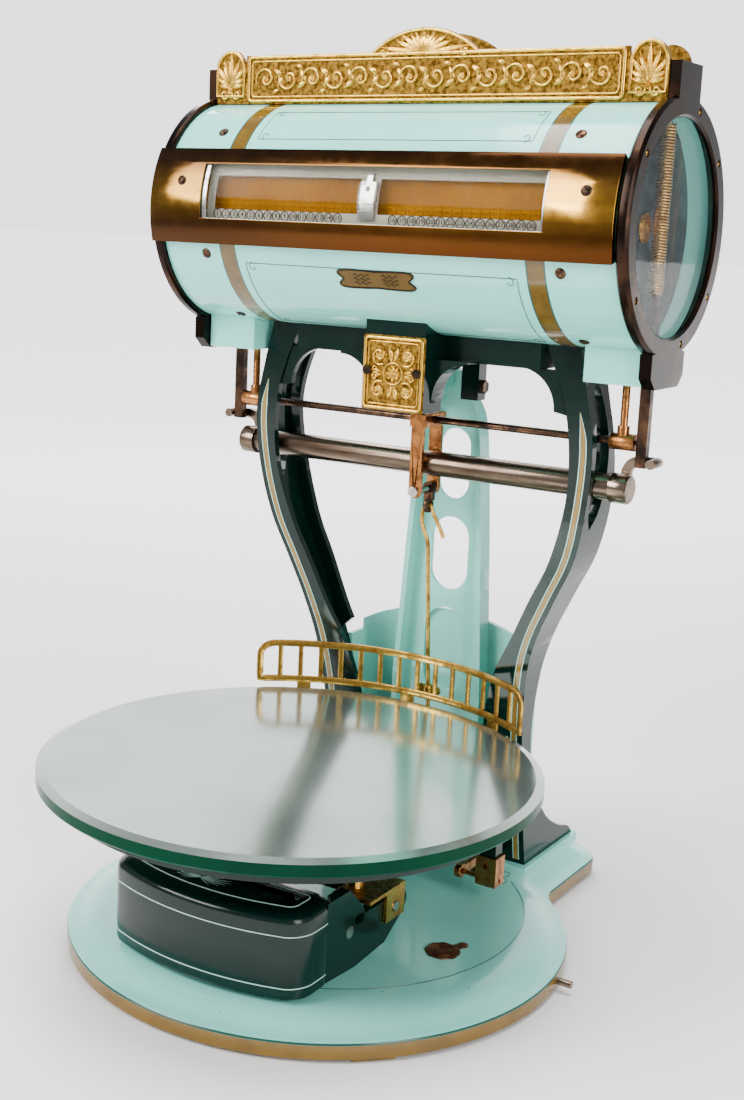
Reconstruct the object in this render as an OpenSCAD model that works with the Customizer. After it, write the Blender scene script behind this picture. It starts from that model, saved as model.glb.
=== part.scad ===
// Counter price scale: a glass platter on a lever and check-link platform, and a
// horizontal barrel that holds a rotating price chart driven by a spring-hung cross rod.
// Millimetres, Z up, X along the barrel, front of the scale towards -Y.

/* [Base] */
// Radius of the round front lobe, and of the rear edge
base_r = 210.5; // [200:0.5:215]
// Width of the straight rear part of the base
base_rear_w = 276; // [260:2:290]
// Height of the flat top of the base above the counter
base_top = 27; // [24:1:30]
// Height of the upright gold rim
rim_h = 16; // [15:1:18]

/* [Platter] */
// Radius of the glass platter
platter_r = 203.2; // [200:0.1:203.5]
// Height of the platter's top face
platter_top = 169.2; // [168:0.2:172]
// Thickness of the glass
glass_t = 13; // [12:0.5:14]
// Height of the guard rail above the platter
guard_h = 43; // [36:1:48]
// Bars of the guard rail
guard_bars = 15; // [10:1:16]

/* [Barrel] */
// Height of the barrel axis
axis_z = 600; // [598:1:602]
// Outer radius of the painted barrel shell
barrel_r = 96; // [95:0.5:96.5]
// Outer radius of the end rings
ring_r = 101; // [100:0.5:102]
// Half of the length over the end rings
half_len = 221.2; // [220:0.2:224]
// Radius of the chart drum
chart_r = 84; // [80:1:86]
// Half of the width of the reading window
window_hw = 161; // [150:1:162]
// Height of the centre crest above the barrel axis
crest_h = 154; // [150:1:158]

/* [Linkage] */
// Teeth of a pinion
pinion_teeth = 10; // [10:1:12]
// Module of the rack and pinion
gear_m = 0.7; // [0.6:0.05:0.7]
// Radius of the tie tube
tube_r = 11; // [10:0.5:11]
// Height of the tie tube's axis
tube_z = 391; // [389:1:392]
// Height of the cross rod's axis at rest
rod_z = 429.5; // [429:0.5:431]
// Distance from the fulcrum to the load pivot, and length of a check link
load_arm = 62; // [58:1:64]

/* [Hidden] */
$fn = 64;
FINE = 128;
EPS = 0.01;

// Reference planes along Y, from the middle of the whole object
depth = 573.5;
platter_y = platter_r - depth / 2;
lobe_y = platter_y + 49.8;
rear_cy = depth / 2 - base_r;
axis_y = 95.8;
link_y = axis_y + 12.4;
fulcrum_y = -126;
load_y = fulcrum_y + load_arm;
nose_y = 147.5;
lever_z = 62;
leg_y = 55;
check_y = leg_y + load_arm;
check_z = 50;
arm_x0 = 80;
arm_x1 = 89;

// Base outline
side_x = base_rear_w / 2;
waist_r = 30;
corner_r = 24;
rim_t = 9;
pad_h = 3;
recess_h = 11;
well_h = 20;
foot_z = base_top + 2;

// Pillars
pillar_t = 6.5;
wall_t = 8;
beam_bottom = 484;

// Barrel
shell_t = 1.5;
shell_end = half_len - 10.2;
band_r = 103;
bulkhead_x = 189;
pinion_x = 183.5;
pinion_w = 7;
pitch_r = gear_m * pinion_teeth / 2;
spring_x = 201;
spring_z0 = 549;
spring_z1 = 681;
win_z0 = -7;
win_z1 = 40;
win_cx = -6;
chart_z0 = 2;
chart_z1 = 30;
band_x0 = -220.5;
band_x1 = 210;
plate_dy = 22.7;
ring_glass_r = 84;

// Linkage
rack_x = pinion_x;
barrel_bush_r = 7;
collar_r = 12.5;
yoke_dy = 16;
yoke_pin_z = 367;
yoke_x = 2;
hang_y = link_y + 9.8;
hook_z = 340.5;
eye_y = hang_y - 1.2;
eye_z = 351.6;
rod_lean = 6.1;
fulcrum_r = 5;
load_pin_r = 4;
check_pin_r = 2;
shaft_r = 2;
fit = 0.05;
lock_y = -1.8;
lock_z = 9;

// Colours
PALE = [0.62, 0.87, 0.80];
GREEN = [0.02, 0.17, 0.13];
BRASS = [0.76, 0.57, 0.20];
COPPER = [0.66, 0.38, 0.16];
STEEL = [0.55, 0.52, 0.48];
BRONZE = [0.23, 0.17, 0.13];
GLASS = [0.55, 0.68, 0.62, 0.8];
PAPER = [0.90, 0.62, 0.24];

// ---------- shared geometry ----------

function arc(cx, cy, r, a0, a1, n) =
    [for (i = [0:n]) let(a = a0 + (a1 - a0) * i / n) [cx + r * cos(a), cy + r * sin(a)]];
function flip(p) = [for (i = [len(p) - 1:-1:0]) p[i]];
function mirror_x(p) = [for (q = p) [-q[0], q[1]]];
function shift(p, dx, dy) = [for (q = p) [q[0] + dx, q[1] + dy]];

// Smooth curve through a short list of points
function blend4(a, b, c, d, t) =
    (2 * b + (c - a) * t + (2 * a - 5 * b + 4 * c - d) * t * t
     + (3 * b - a - 3 * c + d) * t * t * t) / 2;
function curve(p, n = 4) = concat(
    [for (i = [0:len(p) - 2], j = [0:n - 1])
        blend4(p[max(i - 1, 0)], p[i], p[i + 1], p[min(i + 2, len(p) - 1)], j / n)],
    [p[len(p) - 1]]);

// A Y-Z outline made solid from x0 to x1, and an X-Z outline made solid from y0 to y1
module along_x(x0, x1) rotate([90, 0, 90]) translate([0, 0, x0]) linear_extrude(x1 - x0) children();
module along_y(y0, y1) translate([0, y1, 0]) rotate([90, 0, 0]) linear_extrude(y1 - y0) children();
// A round bar or hole along X or Y
module bar_x(x0, x1, y, z, r) translate([x0, y, z]) rotate([0, 90, 0]) cylinder(r = r, h = x1 - x0);
module bar_y(y0, y1, x, z, r) translate([x, y1, z]) rotate([90, 0, 0]) cylinder(r = r, h = y1 - y0);
module bar_z(z0, z1, x, y, r) translate([x, y, z0]) cylinder(r = r, h = z1 - z0);
module box(a, b) translate(a) cube(b - a);
module both_sides() {
    children();
    mirror([1, 0, 0]) children();
}
// A ring or disc turned about the barrel axis from an outline of [radius, x] points
module turned(points) translate([0, axis_y, axis_z]) rotate([0, 90, 0])
    rotate_extrude($fn = FINE) polygon(points);
module barrel_cut(r, x0, x1) bar_x(x0, x1, axis_y, axis_z, r, $fn = FINE);

// ---------- base ----------

// Half of the base outline, set in from the edge by d, front to back on the +X side
function half_outline(d) =
    let(sx = side_x - d, lr = base_r - d, wr = waist_r + d, cr = corner_r - d / 2,
        wx = sx + wr, wy = lobe_y + sqrt(pow(lr + wr, 2) - wx * wx),
        wa = atan2(wy - lobe_y, wx),
        cx = sx - cr, cy = rear_cy + sqrt(pow(lr - cr, 2) - cx * cx),
        ca = atan2(cy - rear_cy, cx))
    concat(arc(0, lobe_y, lr, -90, wa, 26), arc(wx, wy, wr, 180 + wa, 180, 6),
           arc(cx, cy, cr, 0, ca, 6), arc(0, rear_cy, lr, ca, 90, 8));
module base_outline(d) polygon(concat(half_outline(d), mirror_x(flip(half_outline(d)))));

module base_top_form() {
    rise = base_top - rim_h;
    intersection() {
        translate([0, 0, rim_h]) linear_extrude(rise + EPS) base_outline(0);
        union() {
            translate([0, lobe_y, rim_h]) rotate_extrude($fn = FINE) polygon([
                [0, 0], [base_r, 0], [base_r - 5, rise * 0.3], [base_r - 20, rise * 0.72],
                [base_r - 42, rise], [0, rise]]);
            along_y(60, depth / 2) polygon([
                [-side_x, rim_h], [-side_x + 5, rim_h + rise * 0.3],
                [-side_x + 20, rim_h + rise * 0.72], [-side_x + 42, base_top],
                [side_x - 42, base_top], [side_x - 20, rim_h + rise * 0.72],
                [side_x - 5, rim_h + rise * 0.3], [side_x, rim_h]]);
        }
    }
}
module base_casting() color(PALE) difference() {
    union() {
        translate([0, 0, pad_h]) linear_extrude(rim_h - pad_h) base_outline(0);
        base_top_form();
        // Four cast pads under the rim
        intersection() {
            linear_extrude(pad_h + EPS) difference() {
                base_outline(0);
                base_outline(rim_t);
            }
            both_sides() {
                translate([0, lobe_y, 0]) rotate(-45) box([base_r - 20, -22, 0], [base_r + 1, 22, 4]);
                box([side_x - 30, rear_cy + 90, 0], [side_x + 1, rear_cy + 130, 4]);
            }
        }
        // Raised seats under the pillar feet
        both_sides() box([62, 138, rim_h], [110, 251, foot_z]);
    }
    translate([0, 0, -EPS]) linear_extrude(well_h) base_outline(44);
    difference() {
        translate([0, 0, -EPS]) linear_extrude(recess_h) base_outline(rim_t);
        // Boss that guides the locking pin
        box([170, lock_y - 9, pad_h], [base_r, lock_y + 9, rim_h]);
    }
    bar_x(160, half_len, lock_y, lock_z, 3 + fit);
}

// ---------- pillars and frame ----------

pillar_outer = [[150, 506], [160, 463], [167, 423], [164, 376], [154, 328], [137, 290],
    [120, 251], [109.5, 212], [104, 153], [104, 90], [106, foot_z]];
pillar_inner = [[120, 506], [138, 463], [146, 423], [145, 376], [131, 324], [113, 286],
    [95, 246], [77, 209], [66, 160], [68, 100], [78, foot_z]];
pillar_front = [[87, 506], [86.5, 460], [87.5, 412], [91, 370], [97, 328], [101.5, 290],
    [107, 246], [115, 208], [125, 160], [134, 110], [141, 60], [145, foot_z]];
pillar_rear = [[131, 506], [131, 436], [138, 400], [143.5, 370], [145, 310], [144, 212],
    [144, 165], [150, 125], [163, 95], [187, 64], [215, 46], [238, 38], [247, foot_z]];

module pillar_side() polygon(concat(curve(pillar_front), flip(curve(pillar_rear))));
module pillar() color(GREEN) {
    outer = curve(pillar_outer);
    inner = curve(pillar_inner);
    front = curve(pillar_front);
    rear = curve(pillar_rear);
    // The rear flange is narrower below the web that joins it to the column
    rear_inner = [for (q = inner) q[1] > 224 ? q : q + [14, 0]];
    // Front and rear flanges
    difference() {
        union() {
            intersection() {
                along_y(80, 260) polygon(concat(outer, flip(inner)));
                along_x(60, 172) polygon(concat(front, flip(shift(front, pillar_t, 0))));
            }
            intersection() {
                along_y(80, 260) polygon(concat(outer, flip(rear_inner)));
                along_x(60, 172) polygon(concat(shift(rear, -pillar_t, 0), flip(rear)));
            }
        }
        barrel_cut(barrel_r, 60, 180);
    }
    // Curved bracket in the corner under the beam
    along_y(88, 94) polygon(concat([[141, 448], [130, beam_bottom]],
                                   arc(96, 450, 34, 90, 0, 10)));
    // Outer wall, open beside the tie tube and the cross rod
    difference() {
        intersection() {
            along_y(80, 260) polygon(concat(outer, flip(shift(outer, -wall_t, 0))));
            along_x(60, 172) pillar_side();
        }
        barrel_cut(barrel_r, 60, 180);
        along_x(59, 173) polygon(curve([[link_y, 352], [link_y + 12.4, 372],
            [link_y + 12.8, 420], [link_y + 8, 464], [link_y, 474], [link_y - 8, 464],
            [link_y - 13, 420], [link_y - 11, 372], [link_y, 352]]));
    }
}
module pillar_left() mirror([1, 0, 0]) pillar();
module pillar_right() pillar();

module cross_beam() color(GREEN) difference() {
    union() {
        box([-119, 80, beam_bottom], [119, 131, 520]);
        // Flanges that lie on the heads of the pillars
        both_sides() box([118, 80, 506], [160, 131, 520]);
        // Centre block behind the ornament plate
        box([-29, 49, 441], [29, 81, 526]);
        // Curved brackets between the centre block and the beam
        both_sides() along_y(62, 81)
            polygon(concat([[28, 486], [28, 446]], arc(62, 452, 32, 180, 90, 10), [[62, 486]]));
        // Two arms that reach back to the rear column
        both_sides() {
            box([17, 130, 484], [34, 146, 500]);
            box([17, 138, 446], [34, 152, 500]);
        }
    }
    barrel_cut(barrel_r, -200, 200);
    for (s = [-1, 1]) bar_y(48, 62, 24 * s, 474, 2);
}

module ornament_plate() color(BRASS) difference() {
    box([-30, 45, 440.5], [30, 49, 504]);
    box([-26.5, 44, 444], [26.5, 46.2, 500.5]);
    for (s = [-1, 1]) {
        bar_y(44, 50, 24 * s, 474, 2);
        bar_y(44, 46.2, 24 * s, 474, 4);
    }
}

function column_half() = [[48, base_top], [47, 110], [46, 178], [42, 250], [38.5, 313],
    [34.5, 373], [31, 412], [27, 432], [19, 446], [12, 453], [10, 470]];
module column_shape(d) {
    p = curve(shift(column_half(), -d, 0), 3);
    polygon(concat(p, mirror_x(flip(p))));
}
module column_windows() {
    for (w = [[351, 416, 15.5], [265.5, 334, 19], [165, 248.5, 21.5], [60, 148, 22]]) {
        translate([-w[2], w[0] + w[2]]) square([2 * w[2], w[1] - w[0] - 2 * w[2]]);
        for (z = [w[0] + w[2], w[1] - w[2]]) translate([0, z]) circle(r = w[2]);
    }
}
module rear_column() color(PALE) {
    // Flanged sides, open to the front
    along_y(152, 166) difference() {
        column_shape(0);
        column_shape(5);
    }
    // Web with its four windows
    along_y(166, 170) difference() {
        column_shape(0);
        column_windows();
    }
    box([-48, 156, base_top], [48, 170, base_top + 5]);
}

// Web behind the column, with wings that meet the rear flanges of the pillars
module rear_web() color(PALE) {
    along_y(170, 175) polygon(concat(
        [[-61, 100], [-61, base_top], [61, base_top], [61, 100], [92, 100]],
        arc(0, 60.5, 185, 60.2, 119.8, 24), [[-92, 100]]));
    both_sides() along_x(88, 92) polygon(concat(
        [for (q = curve(pillar_rear)) if (q[1] > 101 && q[1] < 213) q],
        [[170.01, 101], [170.01, 212]]));
}

module fulcrum_stands() color(GREEN) both_sides() difference() {
    along_x(60, 72) polygon(concat(
        [[fulcrum_y - 11, base_top], [fulcrum_y + 11, base_top]],
        arc(fulcrum_y, lever_z, 9, 0, 180, 12)));
    bar_x(55, 80, fulcrum_y, lever_z, fulcrum_r + fit);
}
module check_stands() color(STEEL) both_sides() difference() {
    along_x(70, 80) polygon(concat(
        [[check_y - 12, base_top], [check_y + 12, base_top]],
        arc(check_y, check_z, 7, 0, 180, 12)));
    bar_x(60, 90, check_y, check_z, check_pin_r);
}
module escutcheon() color(COPPER) translate([128, -46.8, base_top]) linear_extrude(1.4) {
    circle(r = 14);
    translate([5, 11]) rotate(-25) square([8, 14], center = true);
    translate([8.5, 18.5]) circle(r = 4.5);
}

// ---------- barrel ----------

module window_cut(grow) box([win_cx - window_hw - grow, axis_y - 120, axis_z + win_z0 - grow],
                            [win_cx + window_hw + grow, axis_y, axis_z + win_z1 + grow]);
module rod_holes() both_sides() {
    bar_z(470, 560, rack_x, link_y, 5);
    box([spring_x - 5.5, link_y - 4, 470], [spring_x + 5.5, link_y + 4, 560]);
}
module barrel_shell() color(PALE) difference() {
    turned([[barrel_r - shell_t, -shell_end], [barrel_r, -shell_end],
            [barrel_r, shell_end], [barrel_r - shell_t, shell_end]]);
    window_cut(0);
    rod_holes();
    both_sides() bar_z(660, 705, spring_x, link_y, 2.5);
}
module barrel_feet() color(PALE) difference() {
    both_sides() box([161, axis_y - 25, 478.5], [210.5, axis_y + 25, 530]);
    barrel_cut(barrel_r, -230, 230);
    rod_holes();
}
module band_sector(r0, r1, x0) difference() {
    turned([[r0, x0], [r1, x0], [r1, band_x1], [r0, band_x1]]);
    // Keep only the front strip of the ring
    translate([0, axis_y, axis_z]) rotate([-30.5, 0, 0]) box([-230, -120, 0], [230, 120, 140]);
    translate([0, axis_y, axis_z]) rotate([15.5, 0, 0]) box([-230, -120, -140], [230, 120, 0]);
    box([-230, axis_y - 20, axis_z - 140], [230, axis_y + 140, axis_z + 140]);
}
module window_band() color(BRASS) difference() {
    union() {
        band_sector(band_r - 1.6, band_r, band_x0);
        // Returned edges down to the shell
        difference() {
            band_sector(barrel_r, band_r - 1.6, -shell_end);
            difference() {
                barrel_cut(band_r + 1, -shell_end - 1, band_x1 - 3);
                translate([0, axis_y, axis_z]) rotate([-30.5, 0, 0])
                    box([-230, -120, -1.8], [230, 0, 0]);
                translate([0, axis_y, axis_z]) rotate([15.5, 0, 0])
                    box([-230, -120, 0], [230, 0, 1.8]);
            }
        }
    }
    window_cut(-1);
}
module window_glass() color(GLASS) intersection() {
    turned([[97.6, -180], [100, -180], [100, 180], [97.6, 180]]);
    window_cut(-1.3);
}
// White strips above and below the chart with the index pointer between them
module reading_frame() color([0.86, 0.85, 0.80]) intersection() {
    difference() {
        turned([[90, -180], [91.2, -180], [91.2, 180], [90, 180]]);
        for (x = [[-window_hw + 6, -9], [9, window_hw - 6]])
            box([win_cx + x[0], axis_y - 120, axis_z + chart_z0],
                [win_cx + x[1], axis_y, axis_z + chart_z1]);
    }
    window_cut(6);
}

module end_ring() color(BRONZE) difference() {
    union() {
        turned([[90, shell_end], [ring_r - 2, shell_end], [ring_r, shell_end + 2],
                [ring_r, half_len - 2.5], [ring_r - 2.5, half_len], [ring_glass_r + 2, half_len],
                [ring_glass_r, half_len - 1.6], [ring_glass_r, half_len - 4],
                [90, half_len - 4]]);
        // Square lug on top and a tapered lug below
        difference() {
            box([shell_end, axis_y - 22, axis_z + 90], [half_len, axis_y + 22, axis_z + 124]);
            barrel_cut(95, 200, 230);
        }
        difference() {
            along_x(shell_end, half_len) polygon([
                [axis_y - 34, 505], [axis_y - 34, 486], [axis_y - 24, 477], [axis_y + 24, 477],
                [axis_y + 34, 486], [axis_y + 34, 505]]);
            barrel_cut(95, 200, 230);
        }
    }
    for (a = ring_screw_angles()) ring_screw_place(a) {
        translate([0, 0, -8]) cylinder(r = 1.5, h = 9);
        translate([0, 0, -3]) cylinder(r = 3, h = 4);
    }
}
function ring_screw_angles() = [35, 75, 145, 215, 285, 325];
module ring_screw_place(a) translate([half_len, axis_y, axis_z])
    rotate([a, 0, 0]) translate([0, ring_r - 8.5, 0]) rotate([0, 90, 0]) children();
module end_ring_left() mirror([1, 0, 0]) end_ring();
module end_ring_right() end_ring();
module end_glass() color(GLASS) bar_x(half_len - 7.2, half_len - 4.2, axis_y, axis_z, 89.6, $fn = FINE);
module end_glass_left() mirror([1, 0, 0]) end_glass();
module end_glass_right() end_glass();

module bulkhead() color([0.35, 0.42, 0.45]) difference() {
    union() {
        barrel_cut(barrel_r - shell_t, bulkhead_x, bulkhead_x + 3);
        for (z = [-62, 66])
            box([bulkhead_x + 3, axis_y - 60, axis_z + z - 4],
                [bulkhead_x + 5.2, axis_y + 60, axis_z + z + 4]);
    }
    barrel_cut(9, 180, 200);
}
module bulkhead_left() mirror([1, 0, 0]) bulkhead();
module bulkhead_right() bulkhead();
module bearing_bushes() color(BRASS) both_sides() difference() {
    union() {
        barrel_cut(9, bulkhead_x - 1, bulkhead_x + 6);
        barrel_cut(12, bulkhead_x + 3, bulkhead_x + 5);
    }
    barrel_cut(shaft_r + fit, 180, 210);
}

// Marquee plates: a long panel, a block at each end and a fan crest in the middle
module marquee_shape() {
    translate([-184, 80]) square([368, 55]);
    both_sides() {
        translate([180, 80]) square([32, 45]);
        intersection() {
            translate([196, 123]) circle(r = 17);
            translate([180, 100]) square([32, 41]);
        }
    }
    intersection() {
        translate([0, crest_h - 78]) circle(r = 78);
        translate([-52, 100]) square([104, 60]);
    }
}
module marquee_plate(dy, inner) color(BRASS) difference() {
    translate([0, axis_y, axis_z]) along_y(dy - 2.5, dy + 2.5) marquee_shape();
    barrel_cut(barrel_r, -230, 230);
    translate([0, axis_y, axis_z]) {
        // Sunk panels on the outer face
        both_sides() box([132, inner, 95.5], [176, inner + 2, 125]);
        box([-128, inner, 95.5], [128, inner + 2, 132]);
    }
    both_sides() box([shell_end - EPS, axis_y - 22.5, 660], [230, axis_y + 22.5, 725]);
    both_sides() barrel_cut(ring_r, shell_end - EPS, 230);
}
module marquee_front() marquee_plate(-plate_dy, -plate_dy - 3.7);
module marquee_rear() marquee_plate(plate_dy, plate_dy + 1.7);
module marquee_board() color([0.35, 0.24, 0.13])
    box([-208, axis_y - plate_dy + 2.5, axis_z + 117], [208, axis_y + plate_dy - 2.5, axis_z + 121]);

module screw_on_barrel(x, a) translate([x, axis_y, axis_z]) rotate([-a, 0, 0])
    translate([0, -barrel_r, 0]) rotate([90, 0, 0]) children();
// A low cheese head
module screw_head() {
    cylinder(r = 4.5, h = 0.9);
    translate([0, 0, 0.9]) cylinder(r1 = 4.5, r2 = 3, h = 1);
}
module barrel_screws() color([0.25, 0.18, 0.13]) {
    for (x = [-168, 165], a = [44, -22, -68]) screw_on_barrel(x, a) screw_head();
    for (x = [-188, 186]) screw_on_barrel(x, 14) translate([0, 0, band_r - barrel_r]) screw_head();
}
module ring_screws() color(BRASS) both_sides() for (a = ring_screw_angles()) ring_screw_place(a) {
    translate([0, 0, -8]) cylinder(r = 1.5, h = 8);
    translate([0, 0, -3]) cylinder(r = 3, h = 2.99);
}

// ---------- springs and tie tube ----------

module spring() color(BRASS) difference() {
    bar_z(spring_z0, spring_z1, spring_x, link_y, 6.5);
    bar_z(spring_z0 - 1, spring_z1 + 1, spring_x, link_y, 4.9);
}
module spring_left() mirror([1, 0, 0]) spring();
module spring_right() spring();
module spring_anchors() color(STEEL) both_sides() {
    bar_z(spring_z1 - 4, 700, spring_x, link_y, 2.5);
    bar_z(696, 700, spring_x, link_y, 6, $fn = 6);
}
module tie_tube() color(STEEL) difference() {
    bar_x(-193.5, 193.5, link_y, tube_z, tube_r);
    bar_x(-181, 181, link_y, tube_z, tube_r - 3);
}
// Plates on the rear flanges of the pillars that carry the tie tube
module tube_saddles() color(GREEN) both_sides() difference() {
    intersection() {
        box([149, link_y + 2, tube_z - 13], [155.5, link_y + 30, tube_z + 8]);
        along_x(140, 160) polygon(concat(shift(curve(pillar_rear), -pillar_t, 0),
                                         [[60, foot_z], [60, 506]]));
    }
    bar_x(140, 170, link_y, tube_z, tube_r);
}
module guide_finger() color(STEEL) {
    difference() {
        union() {
            bar_x(178, 192, link_y, tube_z, collar_r);
            box([181, link_y + 4, 397], [189, link_y + 13, 402.5]);
        }
        bar_x(170, 200, link_y, tube_z, tube_r);
    }
    // Finger that curls up beside the spring rod
    along_y(link_y + 7.6, link_y + 13) {
        polygon(concat(arc(197, 402, 8, 90, 180, 8), arc(197, 402, 16, 180, 90, 8)));
        translate([197, 410]) square([13, 8]);
    }
    bar_y(link_y - 6, link_y + 13, 210.5, 414, 4);
}
module guide_finger_left() mirror([1, 0, 0]) guide_finger();
module guide_finger_right() guide_finger();

module frame_bolts() color(STEEL) {
    // Ornament plate screws
    for (s = [-1, 1]) {
        bar_y(46.2, 62, 24 * s, 474, 2);
        bar_y(44, 46.2, 24 * s, 474, 4);
    }
    // Bolts through the arms of the beam
    both_sides() bar_x(34, 38, 145, 458, 6, $fn = 6);
    // Pivots of the check links
    both_sides() bar_x(68, 92, check_y, check_z, check_pin_r);
    both_sides() bar_x(92, 94, check_y, check_z, 4);
}

// ---------- cross rod and what hangs on it ----------

module cross_rod() color(BRONZE) {
    bar_x(-190, 190, link_y, rod_z, 3.25);
    both_sides() bar_x(190, spring_x + 4.5, link_y, rod_z, 2);
}
module rack_rod() color(COPPER) {
    difference() {
        union() {
            bar_x(174, 195, link_y, rod_z, barrel_bush_r);
            bar_z(rod_z + 4, 562, rack_x, link_y, 3.25);
            bar_z(rod_z + 5, rod_z + 13, rack_x, link_y, 5);
        }
        bar_x(170, 190, link_y, rod_z, 3.25);
        bar_x(189, 200, link_y, rod_z, 2);
    }
}
module rack_rod_left() mirror([1, 0, 0]) rack_rod();
module rack_rod_right() rack_rod();

pitch = PI * gear_m;
rack_gap = 0.12;
rack_face = axis_y + pitch_r + rack_gap;
rack_teeth = 16;
rack_low = axis_z - 5 * pitch;
// Rack tooth flanks at 20 degrees, thinned for running clearance
module rack() {
    half = pitch / 4 - 0.08;
    lean = tan(20);
    along_x(rack_x - 3, rack_x + 3) union() {
        polygon([[rack_face + 0.9, 566], [rack_face + 8, 566], [rack_face + 8, 646], [rack_face + 0.9, 646]]);
        for (i = [0:rack_teeth - 1]) translate([rack_face, rack_low + i * pitch]) polygon([
            [0.95, -half - 0.95 * lean], [-0.6, -half + 0.6 * lean],
            [-0.6, half - 0.6 * lean], [0.95, half + 0.95 * lean]]);
    }
    difference() {
        box([rack_x - 5, rack_face + 0.9, 550], [rack_x + 5, link_y + 6, 566.01]);
        bar_z(540, 562, rack_x, link_y, 3.25);
    }
}
module racks() color(BRASS) both_sides() rack();

module spring_rod() color(BRONZE) difference() {
    union() {
        box([spring_x - 4.5, link_y - 3.5, 410], [spring_x + 4.5, link_y + 3.5, 540]);
        bar_z(540, spring_z0 + 3, spring_x, link_y, 2.4);
        bar_z(spring_z0 - 3, spring_z0, spring_x, link_y, 4.8);
    }
    bar_x(190, 210, link_y, rod_z, 2);
}
module spring_rod_left() mirror([1, 0, 0]) spring_rod();
module spring_rod_right() spring_rod();

module yoke() color(COPPER) difference() {
    union() {
        box([yoke_x - 8, link_y - yoke_dy - 2.5, rod_z - 6],
            [yoke_x + 8, link_y + yoke_dy + 2.5, rod_z + 6]);
        for (s = [-1, 1]) along_y(link_y + s * yoke_dy - 2.5, link_y + s * yoke_dy + 2.5) {
            translate([yoke_x - 6, yoke_pin_z]) square([12, rod_z - yoke_pin_z]);
            translate([yoke_x, yoke_pin_z]) circle(r = 6);
        }
    }
    bar_x(-20, 20, link_y, rod_z, 3.25);
    bar_y(80, 150, yoke_x, yoke_pin_z, 3);
}
module yoke_pin() color(STEEL) {
    bar_y(link_y - yoke_dy - 5, link_y + yoke_dy + 5, yoke_x, yoke_pin_z, 3);
    for (s = [-1, 1]) translate([0, link_y + s * (yoke_dy + 4)]) bar_y(-1.5, 1.5, yoke_x, yoke_pin_z, 4.5);
}
module yoke_link() color(BRONZE) difference() {
    union() {
        along_y(hang_y - 2.5, hang_y + 2.5) {
            translate([yoke_x, yoke_pin_z]) circle(r = 6);
            translate([yoke_x - 4.5, 356]) square([9, 11]);
        }
        along_x(yoke_x - 2, yoke_x + 2) {
            translate([hang_y - 4.5, 354]) square([9, 7]);
            translate([eye_y, eye_z]) circle(r = 6.8);
        }
    }
    bar_y(100, 140, yoke_x, yoke_pin_z, 3 + fit);
    bar_x(-10, 10, eye_y, eye_z, 3.8);
}
// Centre line of the hook: a bend, an eye round the link and a tail that points down
hook_path = [[0, -32], [-1, -22], [-4.5, -12], [-6.2, -4], [-5.6, 4], [-3.2, 9.8], [0, 11.8],
    [3.2, 9.8], [5.2, 4.5], [7.5, 0], [11, -6.5], [16, -18]];
// A band of even width along a line
function side_of(p, w) = [for (i = [0:len(p) - 1])
    let(t = p[min(i + 1, len(p) - 1)] - p[max(i - 1, 0)]) p[i] + w * [-t[1], t[0]] / norm(t)];
function stroke(p, w) = concat(side_of(p, w), flip(side_of(p, -w)));
// The rod hangs from the link and leans back to the nose of the lever
module hook_rod() color(BRASS) translate([yoke_x, hang_y, hook_z]) rotate([rod_lean, 0, 0]) {
    foot = -(hook_z - lever_z + 6) / cos(rod_lean);
    along_y(-1.9, 1.9) polygon(stroke(curve(hook_path, 3), 1.9));
    bar_z(foot - 10, -30, 0, 0, 2);
    bar_z(foot - 7, foot, 0, 0, 5);
    // Thumb nut with two wings
    bar_z(-172, -160, 0, 0, 4);
    for (s = [-1, 1]) translate([8 * s, 0, -165]) rotate([90, 0, 0])
        translate([0, 0, -1]) cylinder(r = 5, h = 2);
}

// ---------- chart drum ----------

module drum_shaft() color(STEEL) bar_x(-194, 194, axis_y, axis_z, shaft_r);
module chart_drum() color(PAPER)
    turned([[chart_r - 1, -170], [chart_r, -170], [chart_r, 170], [chart_r - 1, 170]]);
module drum_spiders() color([0.6, 0.62, 0.62]) both_sides() difference() {
    union() {
        barrel_cut(chart_r - 1, 160, 161.5);
        barrel_cut(8, 156, 168);
    }
    barrel_cut(shaft_r, 150, 175);
    for (a = [0:60:300]) translate([150, axis_y, axis_z]) rotate([a, 0, 0])
        translate([0, 48, 0]) rotate([0, 90, 0]) cylinder(r = 18, h = 20);
}
function tooth_profile(n, m) = let(r = m * n / 2) [for (i = [0:n - 1], k = [0:3])
    let(a = 360 * i / n + [-15.5, -6.2, 6.2, 15.5][k] * 10 / n,
        q = [r - 0.95 * m * 1.2, r + 0.62 * m, r + 0.62 * m, r - 0.95 * m * 1.2][k])
    [q * cos(a), q * sin(a)]];
module pinions() color(BRASS) both_sides() difference() {
    translate([pinion_x - pinion_w / 2, axis_y, axis_z]) rotate([0, 90, 0])
        linear_extrude(pinion_w) rotate(pinion_phase()) polygon(tooth_profile(pinion_teeth, gear_m));
    barrel_cut(shaft_r, 170, 195);
}
// A tooth space of the pinion faces the rack tooth that is level with the axis
function pinion_phase() = 90 + 180 / pinion_teeth;

// ---------- platform ----------

module at_platter() translate([0, platter_y, 0]) children();
module platter() color(GLASS) at_platter() rotate_extrude($fn = FINE) polygon([
    [0, platter_top - glass_t], [platter_r - 2, platter_top - glass_t],
    [platter_r, platter_top - glass_t + 2], [platter_r, platter_top - 2.4],
    [platter_r - 7, platter_top], [0, platter_top]]);
plate_z = platter_top - glass_t;
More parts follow.
